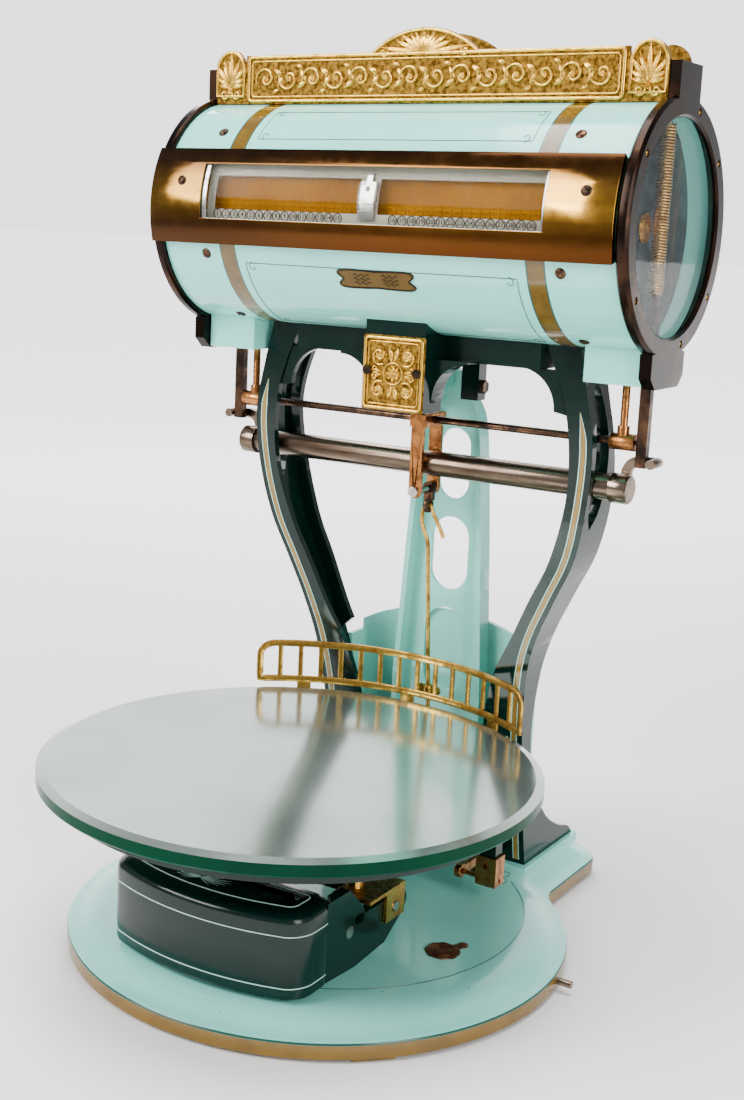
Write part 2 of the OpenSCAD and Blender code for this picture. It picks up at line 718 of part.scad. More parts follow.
// Ring and four ribbed arms under the glass, with legs that reach down to the check links
module platter_spider() color(GREEN) {
    at_platter() {
        rotate_extrude($fn = FINE) polygon([[160, plate_z - 6.5], [176, plate_z - 6.5],
            [178, plate_z - 11], [186, plate_z - 11], [186, plate_z - 0.3], [160, plate_z - 0.3]]);
        for (a = [0, 90]) rotate(a) {
            box([-164, -13, plate_z - 6.5], [164, 13, plate_z - 0.3]);
            box([-150, -3, plate_z - 14], [150, 3, plate_z - 6]);
        }
        bar_z(plate_z - 14, plate_z - 0.3, 0, 0, 26);
    }
    both_sides() box([108, leg_y - 6, 72], [123, leg_y + 6, plate_z - 5]);
}
guard_in = platter_r + 0.6;
guard_out = guard_in + 2.6;
guard_half = 39.8;
guard_turn = 3.2;
module guard_wedge(a) {
    reach = 260;
    linear_extrude(400) polygon([[0, 0], [reach * sin(-a), reach * cos(a)], [0, reach * 1.4],
        [reach * sin(a), reach * cos(a)]]);
}
guard_top = platter_top + guard_h;
guard_foot = platter_top + 3.5;
module guard_bar(z0, z1) rotate_extrude($fn = FINE)
    translate([guard_in, z0]) square([guard_out - guard_in, z1 - z0]);
module guard_rail() color(BRASS) at_platter() rotate(guard_turn) {
    intersection() {
        union() {
            guard_bar(guard_foot, guard_foot + 5);
            guard_bar(guard_top - 5, guard_top);
        }
        guard_wedge(guard_half);
    }
    for (i = [0:guard_bars]) rotate(guard_half - 0.5 - (2 * guard_half - 1) * i / guard_bars)
        box([-1.9, guard_in, guard_foot], [1.9, guard_out, guard_top]);
    // Tabs that hold the rail to the plate under the glass
    for (a = [-28, 0, 28]) rotate(a) {
        box([-7, guard_in, plate_z - 13.5], [7, guard_out, guard_foot + 2]);
        box([-7, 176, plate_z - 13.5], [7, guard_out, plate_z - 11]);
    }
}
module load_brackets() color(BRASS) both_sides() difference() {
    union() {
        box([58, load_y - 39, 76], [arm_x1 + 3.5, load_y + 14, 79]);
        box([arm_x1 + 0.5, load_y - 14, 52], [arm_x1 + 3.5, load_y + 14, 77]);
        box([72, load_y - 12, 50], [75, load_y + 12, 77]);
        bar_z(79, plate_z - 14, 66, platter_y, 7);
    }
    bar_x(70, 110, load_y, lever_z, load_pin_r + 0.5);
}
module leg_blocks() color(COPPER) both_sides() difference() {
    box([106, leg_y - 8, 46], [125, leg_y + 8, 72]);
    bar_x(100, 130, leg_y, check_z, check_pin_r);
    bar_y(leg_y - 9, leg_y - 4, 115, 64, 2.2);
}
module leg_pins() color(COPPER) both_sides() bar_x(82, 122, leg_y, check_z, check_pin_r);

// ---------- lever ----------

box_rear = fulcrum_y - 17.75;
box_front = box_rear - 68;
box_cx = -2;
nose_r = 12;
module lever() color(GREEN) difference() {
    union() {
        both_sides() along_x(arm_x0, arm_x1) difference() {
            polygon(concat(
                [[box_rear - 16, 33], [-118, 30], [-73, 33.5], [-44, 52]],
                arc(-49, 61, 8.5, -20, 90, 6),
                [[-104.5, 70], [-109, 78], [-128, 97], [box_rear - 16, 97]]));
            // Oval window in the arm
            translate([-116, 68.5]) circle(r = 3.8);
            translate([-109.5, 68]) circle(r = 3.8);
            translate([-116, 64.4]) square([6.5, 7.6]);
        }
        // Crosspiece, and a tail that reaches back to the hook rod
        box([-arm_x0 - 1, -50.5, 53], [arm_x0 + 1, -41.5, 67]);
        along_x(-9, 9) polygon([[-46, 50], [nose_y - 16, 57], [nose_y - 16, 67], [-46, 70]]);
        box([-9, nose_y - 17, 58], [13, nose_y, 66]);
        bar_z(58, 66, yoke_x, nose_y, nose_r);
    }
    translate([0, 0, 20]) linear_extrude(90) counterweight_outline(0);
    bar_z(50, 80, yoke_x, nose_y, 4.5);
    both_sides() bar_x(70, 100, fulcrum_y, lever_z, fulcrum_r);
    both_sides() bar_x(70, 100, load_y, lever_z, load_pin_r);
}
module counterweight_outline(d) translate([box_cx, 0]) hull() {
    both_sides() {
        translate([71.5, box_rear - 20]) circle(r = 20 - d, $fn = 32);
        translate([67.5, box_front + 35]) circle(r = 24 - d, $fn = 32);
    }
    polygon(arc(0, box_front + 230, 230 - d, 253, 287, 16));
}
module counterweight() color(GREEN) {
    translate([0, 0, 31]) linear_extrude(66) counterweight_outline(0);
    translate([0, 0, 96.9]) linear_extrude(2.6) counterweight_outline(2.5);
}
module lever_pins() color(STEEL) both_sides() {
    bar_x(58, arm_x1, fulcrum_y, lever_z, fulcrum_r);
    bar_x(69, arm_x1 + 4.5, load_y, lever_z, load_pin_r);
}
module check_links() color(COPPER) both_sides() difference() {
    along_x(84, 90) {
        translate([leg_y, check_z - 4]) square([load_arm, 8]);
        translate([check_y, check_z]) circle(r = 6);
        translate([leg_y, check_z]) circle(r = 6);
    }
    bar_x(80, 110, check_y, check_z, check_pin_r + fit);
    bar_x(80, 110, leg_y, check_z, check_pin_r + 0.5);
}
module lock_pin() color(STEEL) bar_x(176, half_len - 0.2, lock_y, lock_z, 3);

base_casting();
pillar_left();
pillar_right();
cross_beam();
ornament_plate();
rear_column();
rear_web();
fulcrum_stands();
check_stands();
escutcheon();
barrel_shell();
barrel_feet();
window_band();
window_glass();
reading_frame();
end_ring_left();
end_ring_right();
end_glass_left();
end_glass_right();
bulkhead_left();
bulkhead_right();
bearing_bushes();
marquee_front();
marquee_rear();
marquee_board();
tie_tube();
tube_saddles();
guide_finger_left();
guide_finger_right();
spring_left();
spring_right();
spring_anchors();
barrel_screws();
ring_screws();
frame_bolts();
cross_rod();
rack_rod_left();
rack_rod_right();
racks();
spring_rod_left();
spring_rod_right();
yoke();
yoke_pin();
yoke_link();
hook_rod();
drum_shaft();
chart_drum();
drum_spiders();
pinions();
platter();
platter_spider();
guard_rail();
load_brackets();
leg_blocks();
leg_pins();
lever();
counterweight();
lever_pins();
check_links();
lock_pin();
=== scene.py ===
"""Visual model of the counter price scale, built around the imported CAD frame. Metres throughout."""
import random
from math import atan2, cos, degrees, exp, hypot, pi, radians, sin, sqrt

import bmesh
import bpy
from mathutils import Matrix, Vector
from mathutils.bvhtree import BVHTree


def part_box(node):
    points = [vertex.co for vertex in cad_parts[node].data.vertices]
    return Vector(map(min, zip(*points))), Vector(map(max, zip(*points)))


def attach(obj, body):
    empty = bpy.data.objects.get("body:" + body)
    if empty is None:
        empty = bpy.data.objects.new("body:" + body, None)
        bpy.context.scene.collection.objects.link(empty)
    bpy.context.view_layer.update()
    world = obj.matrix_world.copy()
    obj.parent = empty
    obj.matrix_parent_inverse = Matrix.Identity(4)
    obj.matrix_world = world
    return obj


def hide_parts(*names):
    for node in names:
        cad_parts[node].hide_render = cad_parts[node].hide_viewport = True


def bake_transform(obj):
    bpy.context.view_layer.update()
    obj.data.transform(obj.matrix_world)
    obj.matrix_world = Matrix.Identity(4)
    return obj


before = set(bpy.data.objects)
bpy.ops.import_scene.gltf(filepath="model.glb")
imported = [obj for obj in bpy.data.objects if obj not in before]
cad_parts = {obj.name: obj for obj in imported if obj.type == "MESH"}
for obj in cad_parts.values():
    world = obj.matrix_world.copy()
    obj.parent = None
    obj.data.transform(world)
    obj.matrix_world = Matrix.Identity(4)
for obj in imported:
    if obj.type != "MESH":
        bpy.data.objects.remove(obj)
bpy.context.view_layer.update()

MM = 0.001
TAU = 2 * pi
random.seed(7)

# ---------------------------------------------------------------- places, from the frame

shell_low, shell_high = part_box("barrel_shell")
AXIS_Y = (shell_low.y + shell_high.y) / 2
AXIS_Z = (shell_low.z + shell_high.z) / 2
BARREL_R = (shell_high.z - shell_low.z) / 2
BAND_R = BARREL_R + 7 * MM
RING_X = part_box("end_ring_right")[1].x
tube_low, tube_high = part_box("tie_tube")
LINK_Y = (tube_low.y + tube_high.y) / 2
platter_low, platter_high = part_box("platter")
PLATTER_R = (platter_high.x - platter_low.x) / 2
PLATTER_Y = (platter_low.y + platter_high.y) / 2
PLATTER_TOP = platter_high.z
base_low, base_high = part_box("base_casting")
BASE_TOP = 27 * MM
BASE_R = 210.5 * MM
LOBE_Y = base_low.y + BASE_R
REAR_CY = base_high.y - BASE_R
SIDE_X = 138 * MM
glass_low, glass_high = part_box("window_glass")
WINDOW_CX = (glass_low.x + glass_high.x) / 2
WINDOW_HALF = (glass_high.x - glass_low.x) / 2

# ---------------------------------------------------------------- shader helpers


def feed(tree, node, **inputs):
    """Fills named inputs of a node: a socket is linked and a value is set. i0 is the first input."""
    for key, value in inputs.items():
        numbered = key[0] == "i" and key[1:].isdigit()
        socket = node.inputs[int(key[1:]) if numbered else key.replace("_", " ")]
        if isinstance(value, bpy.types.NodeSocket):
            tree.links.new(value, socket)
        elif isinstance(value, tuple) and socket.type == "RGBA":
            socket.default_value = (*value, 1.0)
        else:
            socket.default_value = value


def add(tree, kind, settings=None, out=0, **inputs):
    """One output of a new node, given the node's properties and inputs."""
    node = tree.nodes.new(kind)
    for key, value in (settings or {}).items():
        setattr(node, key, value)
    feed(tree, node, **inputs)
    return node.outputs[out]


def math_node(tree, operation, a, b=0.0):
    return add(tree, "ShaderNodeMath", {"operation": operation}, i0=a, i1=b)


def mix_color(tree, factor, a, b):
    return add(tree, "ShaderNodeMix", {"data_type": "RGBA"}, 2, i0=factor, i6=a, i7=b)


def object_point(tree):
    return add(tree, "ShaderNodeTexCoord", out="Object")


def axes_of(tree, vector):
    """The X, Y and Z outputs of a vector."""
    split = tree.nodes.new("ShaderNodeSeparateXYZ")
    feed(tree, split, Vector=vector)
    return split.outputs


def coordinates(tree, stretch=(1, 1, 1)):
    return add(tree, "ShaderNodeMapping", Vector=object_point(tree), Scale=stretch)


def noise(tree, where, scale, detail=4.0, rough=0.55):
    return add(tree, "ShaderNodeTexNoise", Vector=where, Scale=scale, Detail=detail, Roughness=rough)


def steps(tree, value, low, high, out_low=0.0, out_high=1.0):
    """A smooth step from out_low to out_high while value goes from low to high."""
    return add(tree, "ShaderNodeMapRange", {"interpolation_type": "SMOOTHSTEP"}, Value=value,
               From_Min=low, From_Max=high, To_Min=out_low, To_Max=out_high)


def bumped(tree, shader, heights, strength, depth):
    feed(tree, shader, Normal=add(tree, "ShaderNodeBump", Strength=strength, Distance=depth, Height=heights))


def turn_about_axis(tree, axes, from_front):
    """The angle of a point about the barrel axis, in radians up from the front or up from the rear."""
    ends = (AXIS_Y, axes[1]) if from_front else (axes[1], AXIS_Y)
    height = math_node(tree, "SUBTRACT", axes[2], AXIS_Z)
    return math_node(tree, "ARCTAN2", height, math_node(tree, "SUBTRACT", *ends))


def new_material(name):
    material = bpy.data.materials.new(name)
    material.use_nodes = True
    return material, material.node_tree, material.node_tree.nodes["Principled BSDF"]


def enamel(name, base, shade, roughness=0.16, specks=0.0, masks=None, coat=0.35, gloss=0.4):
    """Stoved enamel: a slow drift of colour, a faint orange peel, small chips and a clear gloss."""
    material, tree, shader = new_material(name)
    where = coordinates(tree)
    drift = steps(tree, noise(tree, where, 9.0, 5.0), 0.35, 0.7)
    color = mix_color(tree, drift, base, shade)
    if specks:
        chips = steps(tree, noise(tree, where, 310.0, 3.0, 0.7), 0.80 - specks, 0.84 - specks)
        patch = steps(tree, noise(tree, where, 17.0, 2.0), 0.52, 0.62)
        color = mix_color(tree, math_node(tree, "MULTIPLY", chips, patch), color, (0.045, 0.035, 0.025))
    if masks:
        color = masks(tree, color)
    smudge = steps(tree, noise(tree, where, 38.0, 6.0), 0.3, 0.75, roughness * 0.75, roughness * 1.5)
    bumped(tree, shader, noise(tree, where, 420.0, 2.0, 0.5), 0.10, 0.0004)
    feed(tree, shader, Base_Color=color, Roughness=smudge, Coat_Weight=coat, Coat_Roughness=0.04,
         Specular_IOR_Level=gloss)
    return material


def metal(name, bright, dark, roughness, scale, grain, spots, stretch=(1, 1, 1), depth=0.0003):
    """Metal with darker tarnish, handling marks in its gloss and a fine surface grain."""
    material, tree, shader = new_material(name)
    where = coordinates(tree, stretch)
    tarnish = steps(tree, noise(tree, where, scale, 7.0, 0.62), spots - 0.16, spots + 0.16)
    fine = noise(tree, where, scale * 7, 3.0)
    gloss = math_node(tree, "ADD", steps(tree, tarnish, 0.0, 1.0, roughness * 1.7, roughness * 0.8),
                      math_node(tree, "MULTIPLY", fine, roughness * 0.4))
    feed(tree, shader, Base_Color=mix_color(tree, tarnish, dark, bright), Metallic=1.0, Roughness=gloss)
    bumped(tree, shader, fine, grain, depth)
    return material


def glass(name, alpha):
    """Thin clear glass with dust in its gloss; a low alpha keeps its reflections faint."""
    material, tree, shader = new_material(name)
    dust = steps(tree, noise(tree, coordinates(tree), 45.0, 5.0), 0.4, 0.8, 0.02, 0.07)
    feed(tree, shader, Base_Color=(0.93, 0.98, 0.96), Transmission_Weight=1.0, IOR=1.5, Alpha=alpha,
         Roughness=dust)
    return material


def between(tree, value, low, high):
    """1 where the value is between low and high, with an edge as soft as a brush stroke."""
    soft = 0.12 * MM
    return math_node(tree, "SUBTRACT", steps(tree, value, low - soft, low + soft),
                     steps(tree, value, high - soft, high + soft))


# ---------------------------------------------------------------- colours

PALE = (0.260, 0.760, 0.655)
PALE_SHADE = (0.225, 0.700, 0.605)
LINE_GREEN = (0.004, 0.060, 0.038)
LINE_DARK = (0.020, 0.070, 0.055)
RIM_GOLD_TOP, RIM_GREEN_TOP = 13.8 * MM, 15.6 * MM
# The gold bands round the barrel, by distance from its middle
BAND_INNER, BAND_OUTER, BAND_BORDER = 137.6 * MM, 151.4 * MM, 1.4 * MM


def rim_paint(tree, color):
    """Bronze paint on the upright rim, and a dark green line along its top edge."""
    height = axes_of(tree, object_point(tree))[2]
    drift = steps(tree, noise(tree, coordinates(tree), 40.0, 5.0), 0.25, 0.75)
    gold = mix_color(tree, drift, (0.130, 0.066, 0.001), (0.195, 0.102, 0.002))
    color = mix_color(tree, between(tree, height, RIM_GOLD_TOP, RIM_GREEN_TOP), color, LINE_GREEN)
    return mix_color(tree, between(tree, height, -1.0, RIM_GOLD_TOP), color, gold)


def barrel_paint(tree, color):
    """Gold bands round the barrel with dark green borders."""
    across = math_node(tree, "ABSOLUTE", axes_of(tree, object_point(tree))[0])
    drift = steps(tree, noise(tree, coordinates(tree), 90.0, 5.0), 0.3, 0.7)
    gold = mix_color(tree, drift, (0.095, 0.050, 0.003), (0.140, 0.078, 0.006))
    border = between(tree, across, BAND_INNER - BAND_BORDER, BAND_OUTER + BAND_BORDER)
    color = mix_color(tree, border, color, LINE_DARK)
    return mix_color(tree, between(tree, across, BAND_INNER, BAND_OUTER), color, gold)


pale_enamel = enamel("pale_enamel", PALE, PALE_SHADE, 0.15, specks=0.10)
barrel_enamel = enamel("barrel_enamel", PALE, PALE_SHADE, 0.13, specks=0.08, masks=barrel_paint)
base_enamel = enamel("base_enamel", PALE, PALE_SHADE, 0.15, specks=0.11, masks=rim_paint)
deep_enamel = enamel("deep_enamel", (0.0005, 0.0090, 0.0065), (0.001, 0.015, 0.011), 0.16, coat=0.12, gloss=0.22)
gold_line = enamel("gold_line", (0.30, 0.17, 0.025), (0.22, 0.12, 0.018), 0.28)
label_paint = enamel("label_paint", (0.110, 0.058, 0.004), (0.070, 0.036, 0.003), 0.32, coat=0.0, gloss=0.2)
pale_line = enamel("pale_line", (0.46, 0.72, 0.60), (0.38, 0.62, 0.50), 0.30)
dark_line = enamel("dark_line", (0.012, 0.040, 0.030), (0.02, 0.05, 0.04), 0.30)
white_strip = enamel("white_strip", (0.40, 0.37, 0.29), (0.31, 0.28, 0.21), 0.45, coat=0.0, gloss=0.1)
ink = enamel("ink", (0.010, 0.009, 0.008), (0.020, 0.016, 0.012), 0.6, coat=0.0, gloss=0.1)

# Bright and tarnished colour, roughness, size of the tarnish, grain, and share of tarnish
old_brass = metal("old_brass", (0.60, 0.34, 0.065), (0.20, 0.095, 0.018), 0.24, 75.0, 0.18, 0.46)
cast_brass = metal("cast_brass", (0.80, 0.48, 0.075), (0.44, 0.23, 0.028), 0.22, 160.0, 0.35, 0.42)
# Much darker than cast_brass: painted shade in the recessed ground behind the relief, with a coarse grain
shaded_cast_ground = metal("shaded_cast_ground", (0.34, 0.185, 0.025), (0.085, 0.038, 0.006), 0.34, 260.0, 0.9, 0.5,
                    depth=0.0006)
copper_bronze = metal("copper_bronze", (0.46, 0.185, 0.055), (0.16, 0.055, 0.018), 0.24, 120.0, 0.2, 0.46)
rust_brown = metal("rust_brown", (0.30, 0.13, 0.06), (0.10, 0.04, 0.02), 0.42, 95.0, 0.5, 0.5)
oxidised = metal("oxidised_copper", (0.15, 0.075, 0.042), (0.022, 0.015, 0.012), 0.20, 60.0, 0.15, 0.55)
ring_bronze = metal("ring_bronze", (0.080, 0.036, 0.019), (0.014, 0.009, 0.007), 0.13, 16.0, 0.06, 0.58)
worn_nickel = metal("worn_nickel", (0.25, 0.185, 0.135), (0.060, 0.038, 0.025), 0.18, 50.0, 0.16, 0.46,
                    (0.12, 1, 1))
bright_steel = metal("bright_steel", (0.50, 0.48, 0.44), (0.20, 0.17, 0.14), 0.18, 80.0, 0.12, 0.4)
silver_trim = metal("silver_trim", (0.38, 0.38, 0.35), (0.15, 0.15, 0.14), 0.20, 110.0, 0.12, 0.38,
                    (0.3, 1, 1))
spring_wire = metal("spring_wire", (0.66, 0.40, 0.13), (0.20, 0.10, 0.03), 0.24, 150.0, 0.1, 0.45)
dull_zinc = metal("dull_zinc", (0.095, 0.130, 0.150), (0.045, 0.065, 0.078), 0.40, 18.0, 0.2, 0.5)
end_glass = glass("clear_glass", 0.10)
pane_glass = glass("pane_glass", 0.025)


def platter_glass_material():
    """Thick plate glass: a pale, mirror-like top that blurs what it reflects, and a deep green edge."""
    material, tree, shader = new_material("platter_glass")
    upward = axes_of(tree, add(tree, "ShaderNodeNewGeometry", out="True Normal"))[2]
    facing_up = steps(tree, upward, 0.5, 0.9)
    cloud = steps(tree, noise(tree, coordinates(tree), 6.0, 4.0), 0.35, 0.75)
    top = mix_color(tree, cloud, (0.43, 0.50, 0.46), (0.31, 0.39, 0.355))
    edge = mix_color(tree, cloud, (0.0003, 0.0420, 0.0190), (0.0002, 0.0200, 0.0100))
    feed(tree, shader, Base_Color=mix_color(tree, facing_up, edge, top),
         Roughness=steps(tree, facing_up, 0.0, 1.0, 0.12, 0.145),
         Metallic=steps(tree, facing_up, 0.0, 1.0, 0.0, 0.90),
         Specular_IOR_Level=steps(tree, facing_up, 0.0, 1.0, 0.04, 0.50))
    return material


def band_material():
    """Brass band coloured by its angle round the barrel: dark red-brown along its lower and upper edges and
    bright gold a little below the middle, a painted reflection with a painted highlight; it also has fine
    tarnish streaks and is darker towards its left end.
    """
    material, tree, shader = new_material("band_brass")
    axes = axes_of(tree, object_point(tree))
    drift = math_node(tree, "MULTIPLY", noise(tree, coordinates(tree, (0.5, 1, 1)), 18.0, 4.0), 0.14)
    turn = math_node(tree, "ADD", turn_about_axis(tree, axes, True), math_node(tree, "SUBTRACT", drift, 0.07))
    ramp = tree.nodes.new("ShaderNodeValToRGB")
    feed(tree, ramp, Fac=steps(tree, turn, -0.30, 0.56))
    # Painted reflection and highlight: colours from the lower edge of the band to its upper edge
    reflection_tones = ((0.0, (0.075, 0.024, 0.006)), (0.14, (0.13, 0.048, 0.010)), (0.27, (0.30, 0.14, 0.022)),
             (0.44, (0.62, 0.33, 0.045)), (0.58, (0.42, 0.215, 0.030)), (0.74, (0.36, 0.185, 0.033)),
             (0.90, (0.125, 0.055, 0.014)), (1.0, (0.05, 0.020, 0.008)))
    stops = ramp.color_ramp.elements
    stops[0].color, stops[1].color = (*reflection_tones[0][1], 1.0), (*reflection_tones[-1][1], 1.0)
    for at, tone in reflection_tones[1:-1]:
        stops.new(at).color = (*tone, 1.0)
    # Fine tarnish streaks along the band, and darker towards its left end
    streak = steps(tree, noise(tree, coordinates(tree, (0.05, 1, 1)), 240.0, 4.0), 0.35, 0.65, 0.82, 1.0)
    side = steps(tree, axes[0], -0.17, 0.05, 0.42, 1.0)
    streaks_and_left_fade = math_node(tree, "MULTIPLY", streak, side)
    color = mix_color(tree, streaks_and_left_fade, (0.045, 0.022, 0.010), ramp.outputs[0])
    feed(tree, shader, Base_Color=color, Metallic=1.0,
         Roughness=steps(tree, noise(tree, coordinates(tree), 60.0, 5.0), 0.3, 0.7, 0.10, 0.20))
    bumped(tree, shader, noise(tree, coordinates(tree, (0.1, 1, 1)), 400.0, 2.0), 0.05, 0.0002)
    return material


def chart_material():
    """A varnished price chart: ruled columns and rows filled with marks as small as printed figures."""
    material, tree, shader = new_material("chart_paper")
    axes = axes_of(tree, object_point(tree))
    column_width, chart_r, row_height = 8.4 * MM, 84.0, 4.0
    across = math_node(tree, "DIVIDE", axes[0], column_width)
    around = math_node(tree, "MULTIPLY", turn_about_axis(tree, axes, False), chart_r / row_height)
    column, row = (math_node(tree, "PINGPONG", value, 0.5) for value in (across, around))
    rule = math_node(tree, "LESS_THAN", column, 0.035)
    inside = math_node(tree, "MULTIPLY", math_node(tree, "GREATER_THAN", row, 0.15),
                       math_node(tree, "GREATER_THAN", column, 0.12))
    grid = add(tree, "ShaderNodeCombineXYZ", X=math_node(tree, "MULTIPLY", across, 5.0),
               Y=math_node(tree, "MULTIPLY", around, 2.2))
    figures = noise(tree, grid, 1.6, 1.0, 0.5)
    printed = math_node(tree, "MULTIPLY", math_node(tree, "GREATER_THAN", figures, 0.52), inside)
    marks = math_node(tree, "MAXIMUM", math_node(tree, "MULTIPLY", printed, 0.72), rule)
    age = steps(tree, noise(tree, coordinates(tree), 22.0, 5.0), 0.3, 0.7)
    paper = mix_color(tree, age, (0.330, 0.135, 0.001), (0.240, 0.090, 0.001))
    feed(tree, shader, Base_Color=mix_color(tree, marks, paper, (0.050, 0.016, 0.004)),
         Roughness=steps(tree, age, 0.0, 1.0, 0.50, 0.65), Specular_IOR_Level=0.02)
    bumped(tree, shader, noise(tree, coordinates(tree), 500.0, 2.0), 0.1, 0.0002)
    return material


ROOM_LIGHT = 0.45
BACKDROP_LIGHT = 2.4
BACKDROP_WAY = (-0.54, 0.84, 0.0)


def toward_backdrop(tree, vector):
    return add(tree, "ShaderNodeVectorMath", {"operation": "DOT_PRODUCT"}, "Value", i0=vector, i1=BACKDROP_WAY)


def paper_material():
    """White paper, which brightens far from the scale until it meets the backdrop."""
    material, tree, shader = new_material("studio_white")
    tone = steps(tree, noise(tree, coordinates(tree), 2.0, 2.0), 0.3, 0.7)
    glow = steps(tree, toward_backdrop(tree, object_point(tree)), 0.3, 2.6, 0.0, BACKDROP_LIGHT * 0.86)
    color = mix_color(tree, tone, (0.93, 0.93, 0.93), (0.90, 0.90, 0.90))
    feed(tree, shader, Base_Color=color, Roughness=0.9, Emission_Color=(1, 1, 1), Emission_Strength=glow)
    return material


platter_glass = platter_glass_material()
band_brass = band_material()
chart_paper = chart_material()

# ---------------------------------------------------------------- mesh helpers


def circle(cx, cy, r, count):
    return [(cx + r * cos(TAU * k / count), cy + r * sin(TAU * k / count)) for k in range(count)]


def soften(obj, width, segments, angle):
    """Rounds the sharp edges of an object."""
    modifier = obj.modifiers.new("edge", "BEVEL")
    modifier.width = width
    modifier.segments = segments
    modifier.limit_method = "ANGLE"
    modifier.angle_limit = radians(angle)
    modifier.harden_normals = True


def piece(name, bm, body, material, replaces=(), smooth=True, bevel=0.0, angle=35):
    """Makes an object of a bmesh, rides it on its body, gives it its material and hides the CAD parts it
    replaces.
    """
    bmesh.ops.recalc_face_normals(bm, faces=bm.faces)
    mesh = bpy.data.meshes.new(name)
    bm.to_mesh(mesh)
    bm.free()
    obj = bpy.data.objects.new(name, mesh)
    bpy.context.scene.collection.objects.link(obj)
    mesh.materials.append(material)
    for polygon in mesh.polygons:
        polygon.use_smooth = smooth
    if smooth:
        mesh.set_sharp_from_angle(angle=radians(angle))
    if bevel:
        soften(obj, bevel, 2, angle)
    if body:
        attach(obj, body)
    if replaces:
        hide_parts(*replaces)
    return obj


def loft(bm, rings, capped=True):
    """Joins rings of points, each with the same number of points."""
    rows = [[bm.verts.new(p) for p in ring] for ring in rings]
    count = len(rows[0])
    for lower, upper in zip(rows, rows[1:]):
        for i in range(count):
            j = (i + 1) % count
            bm.faces.new((lower[i], lower[j], upper[j], upper[i]))
    if capped:
        bm.faces.new(list(reversed(rows[0])))
        bm.faces.new(rows[-1])


def loop_loft(bm, rings):
    """Joins rings, and the last ring to the first."""
    loft(bm, rings + [rings[0]], capped=False)
    bmesh.ops.remove_doubles(bm, verts=bm.verts, dist=1e-7)


def frame_along(points, closed):
    """A normal and a binormal at each point, carried along the path without twist."""
    count = len(points)
    tangents = []
    for i in range(count):
        before = points[i - 1] if closed or i > 0 else points[i]
        after = points[(i + 1) % count] if closed or i < count - 1 else points[i]
        tangents.append((after - before).normalized())
    start = Vector((0, 0, 1)) if abs(tangents[0].z) < 0.9 else Vector((0, 1, 0))
    normal = (start - tangents[0] * start.dot(tangents[0])).normalized()
    frames = []
    for tangent in tangents:
        normal = (normal - tangent * normal.dot(tangent)).normalized()
        frames.append((normal, tangent.cross(normal)))
    return frames


def tube(bm, points, radius, closed=False, sides=12, flat=1.0, taper=None):
    """A round or oval bar along points; taper gives a factor of the radius at each point."""
    points = [Vector(p) for p in points]
    section = circle(0, 0, 1, sides)
    rings = []
    for i, (p, (n, b)) in enumerate(zip(points, frame_along(points, closed))):
        r = radius * (taper[i] if taper else 1.0)
        rings.append([p + n * (r * u) + b * (r * flat * v) for u, v in section])
    if closed:
        loop_loft(bm, rings)
    else:
        loft(bm, rings)


def prism(bm, outline, place, thick):
    """A flat outline of (u, v) points given thickness; place turns (u, v, w) into a point."""
    loft(bm, [[place(u, v, w) for u, v in outline] for w in (0.0, thick)])


def block(bm, low, high):
    outline = [(low[0], low[1]), (high[0], low[1]), (high[0], high[1]), (low[0], high[1])]
    prism(bm, outline, lambda u, v, w: Vector((u, v, low[2] + w)), high[2] - low[2])


def arc(cx, cy, r, start, end, count):
    """Points on an arc, with its angles in degrees."""
    angles = [radians(start + (end - start) * i / count) for i in range(count + 1)]
    return [(cx + r * cos(a), cy + r * sin(a)) for a in angles]


def spiral(cx, cy, r0, r1, start, turn, count=28):
    points = []
    for k in range(count + 1):
        t = k / count
        r = r0 + (r1 - r0) * t
        a = radians(start + turn * t)
        points.append((cx + r * cos(a), cy + r * sin(a)))
    return points


def rounded_rect(half_w, half_h, r, count=5):
    points = []
    for cx, cy, start in ((half_w - r, half_h - r, 0), (-half_w + r, half_h - r, 90),
                          (-half_w + r, -half_h + r, 180), (half_w - r, -half_h + r, 270)):
        points += arc(cx, cy, r, start, start + 90, count)
    return points


def mirrored(points):
    """Points that run round the +X side of an outline, then their mirror image back to the start."""
    return points + [(-x, y) for x, y in reversed(points[:-1])]


def on_barrel(x, angle, radius):
    """A point on a cylinder about the barrel axis; an angle of 0 faces the front and 90 is the top."""
    a = radians(angle)
    return Vector((x, AXIS_Y - radius * cos(a), AXIS_Z + radius * sin(a)))


def off_barrel(angle):
    """The direction that points straight off the barrel at that angle."""
    return on_barrel(0, angle, 1) - on_barrel(0, angle, 0)


def curved_panel(bm, x0, x1, a0, a1, r0, r1, cells=24):
    """A thick patch of the cylinder between two angles and two X positions."""
    angles = [a0 + (a1 - a0) * k / cells for k in range(cells + 1)]
    corners = ((x0, r0), (x0, r1), (x1, r1), (x1, r0))
    loft(bm, [[on_barrel(x, a, r) for x, r in corners] for a in angles])


def screw_head(bm, centre, outward, radius, height, slot_turn=0.0):
    """A domed, slotted screw head."""
    outward = Vector(outward).normalized()
    side = Matrix.Rotation(slot_turn, 3, outward) @ outward.orthogonal().normalized()
    other = outward.cross(side)
    sides, rows, rim = 20, 5, 0.94
    slot_half, slot_deep = radius * 0.13, height * 0.55
    rings = []
    for row in range(rows + 1):
        share = row / rows
        rise = share * pi / 2
        ring = []
        for u, v in circle(0, 0, radius * cos(rise * rim), sides):
            dip = slot_deep * max(0.0, min(1.0, (slot_half * 1.6 - abs(v)) / (slot_half * 0.8)))
            lift = height * sin(rise) - dip * share ** 0.5
            ring.append(Vector(centre) + side * u + other * v + outward * lift)
        rings.append(ring)
    loft(bm, rings)


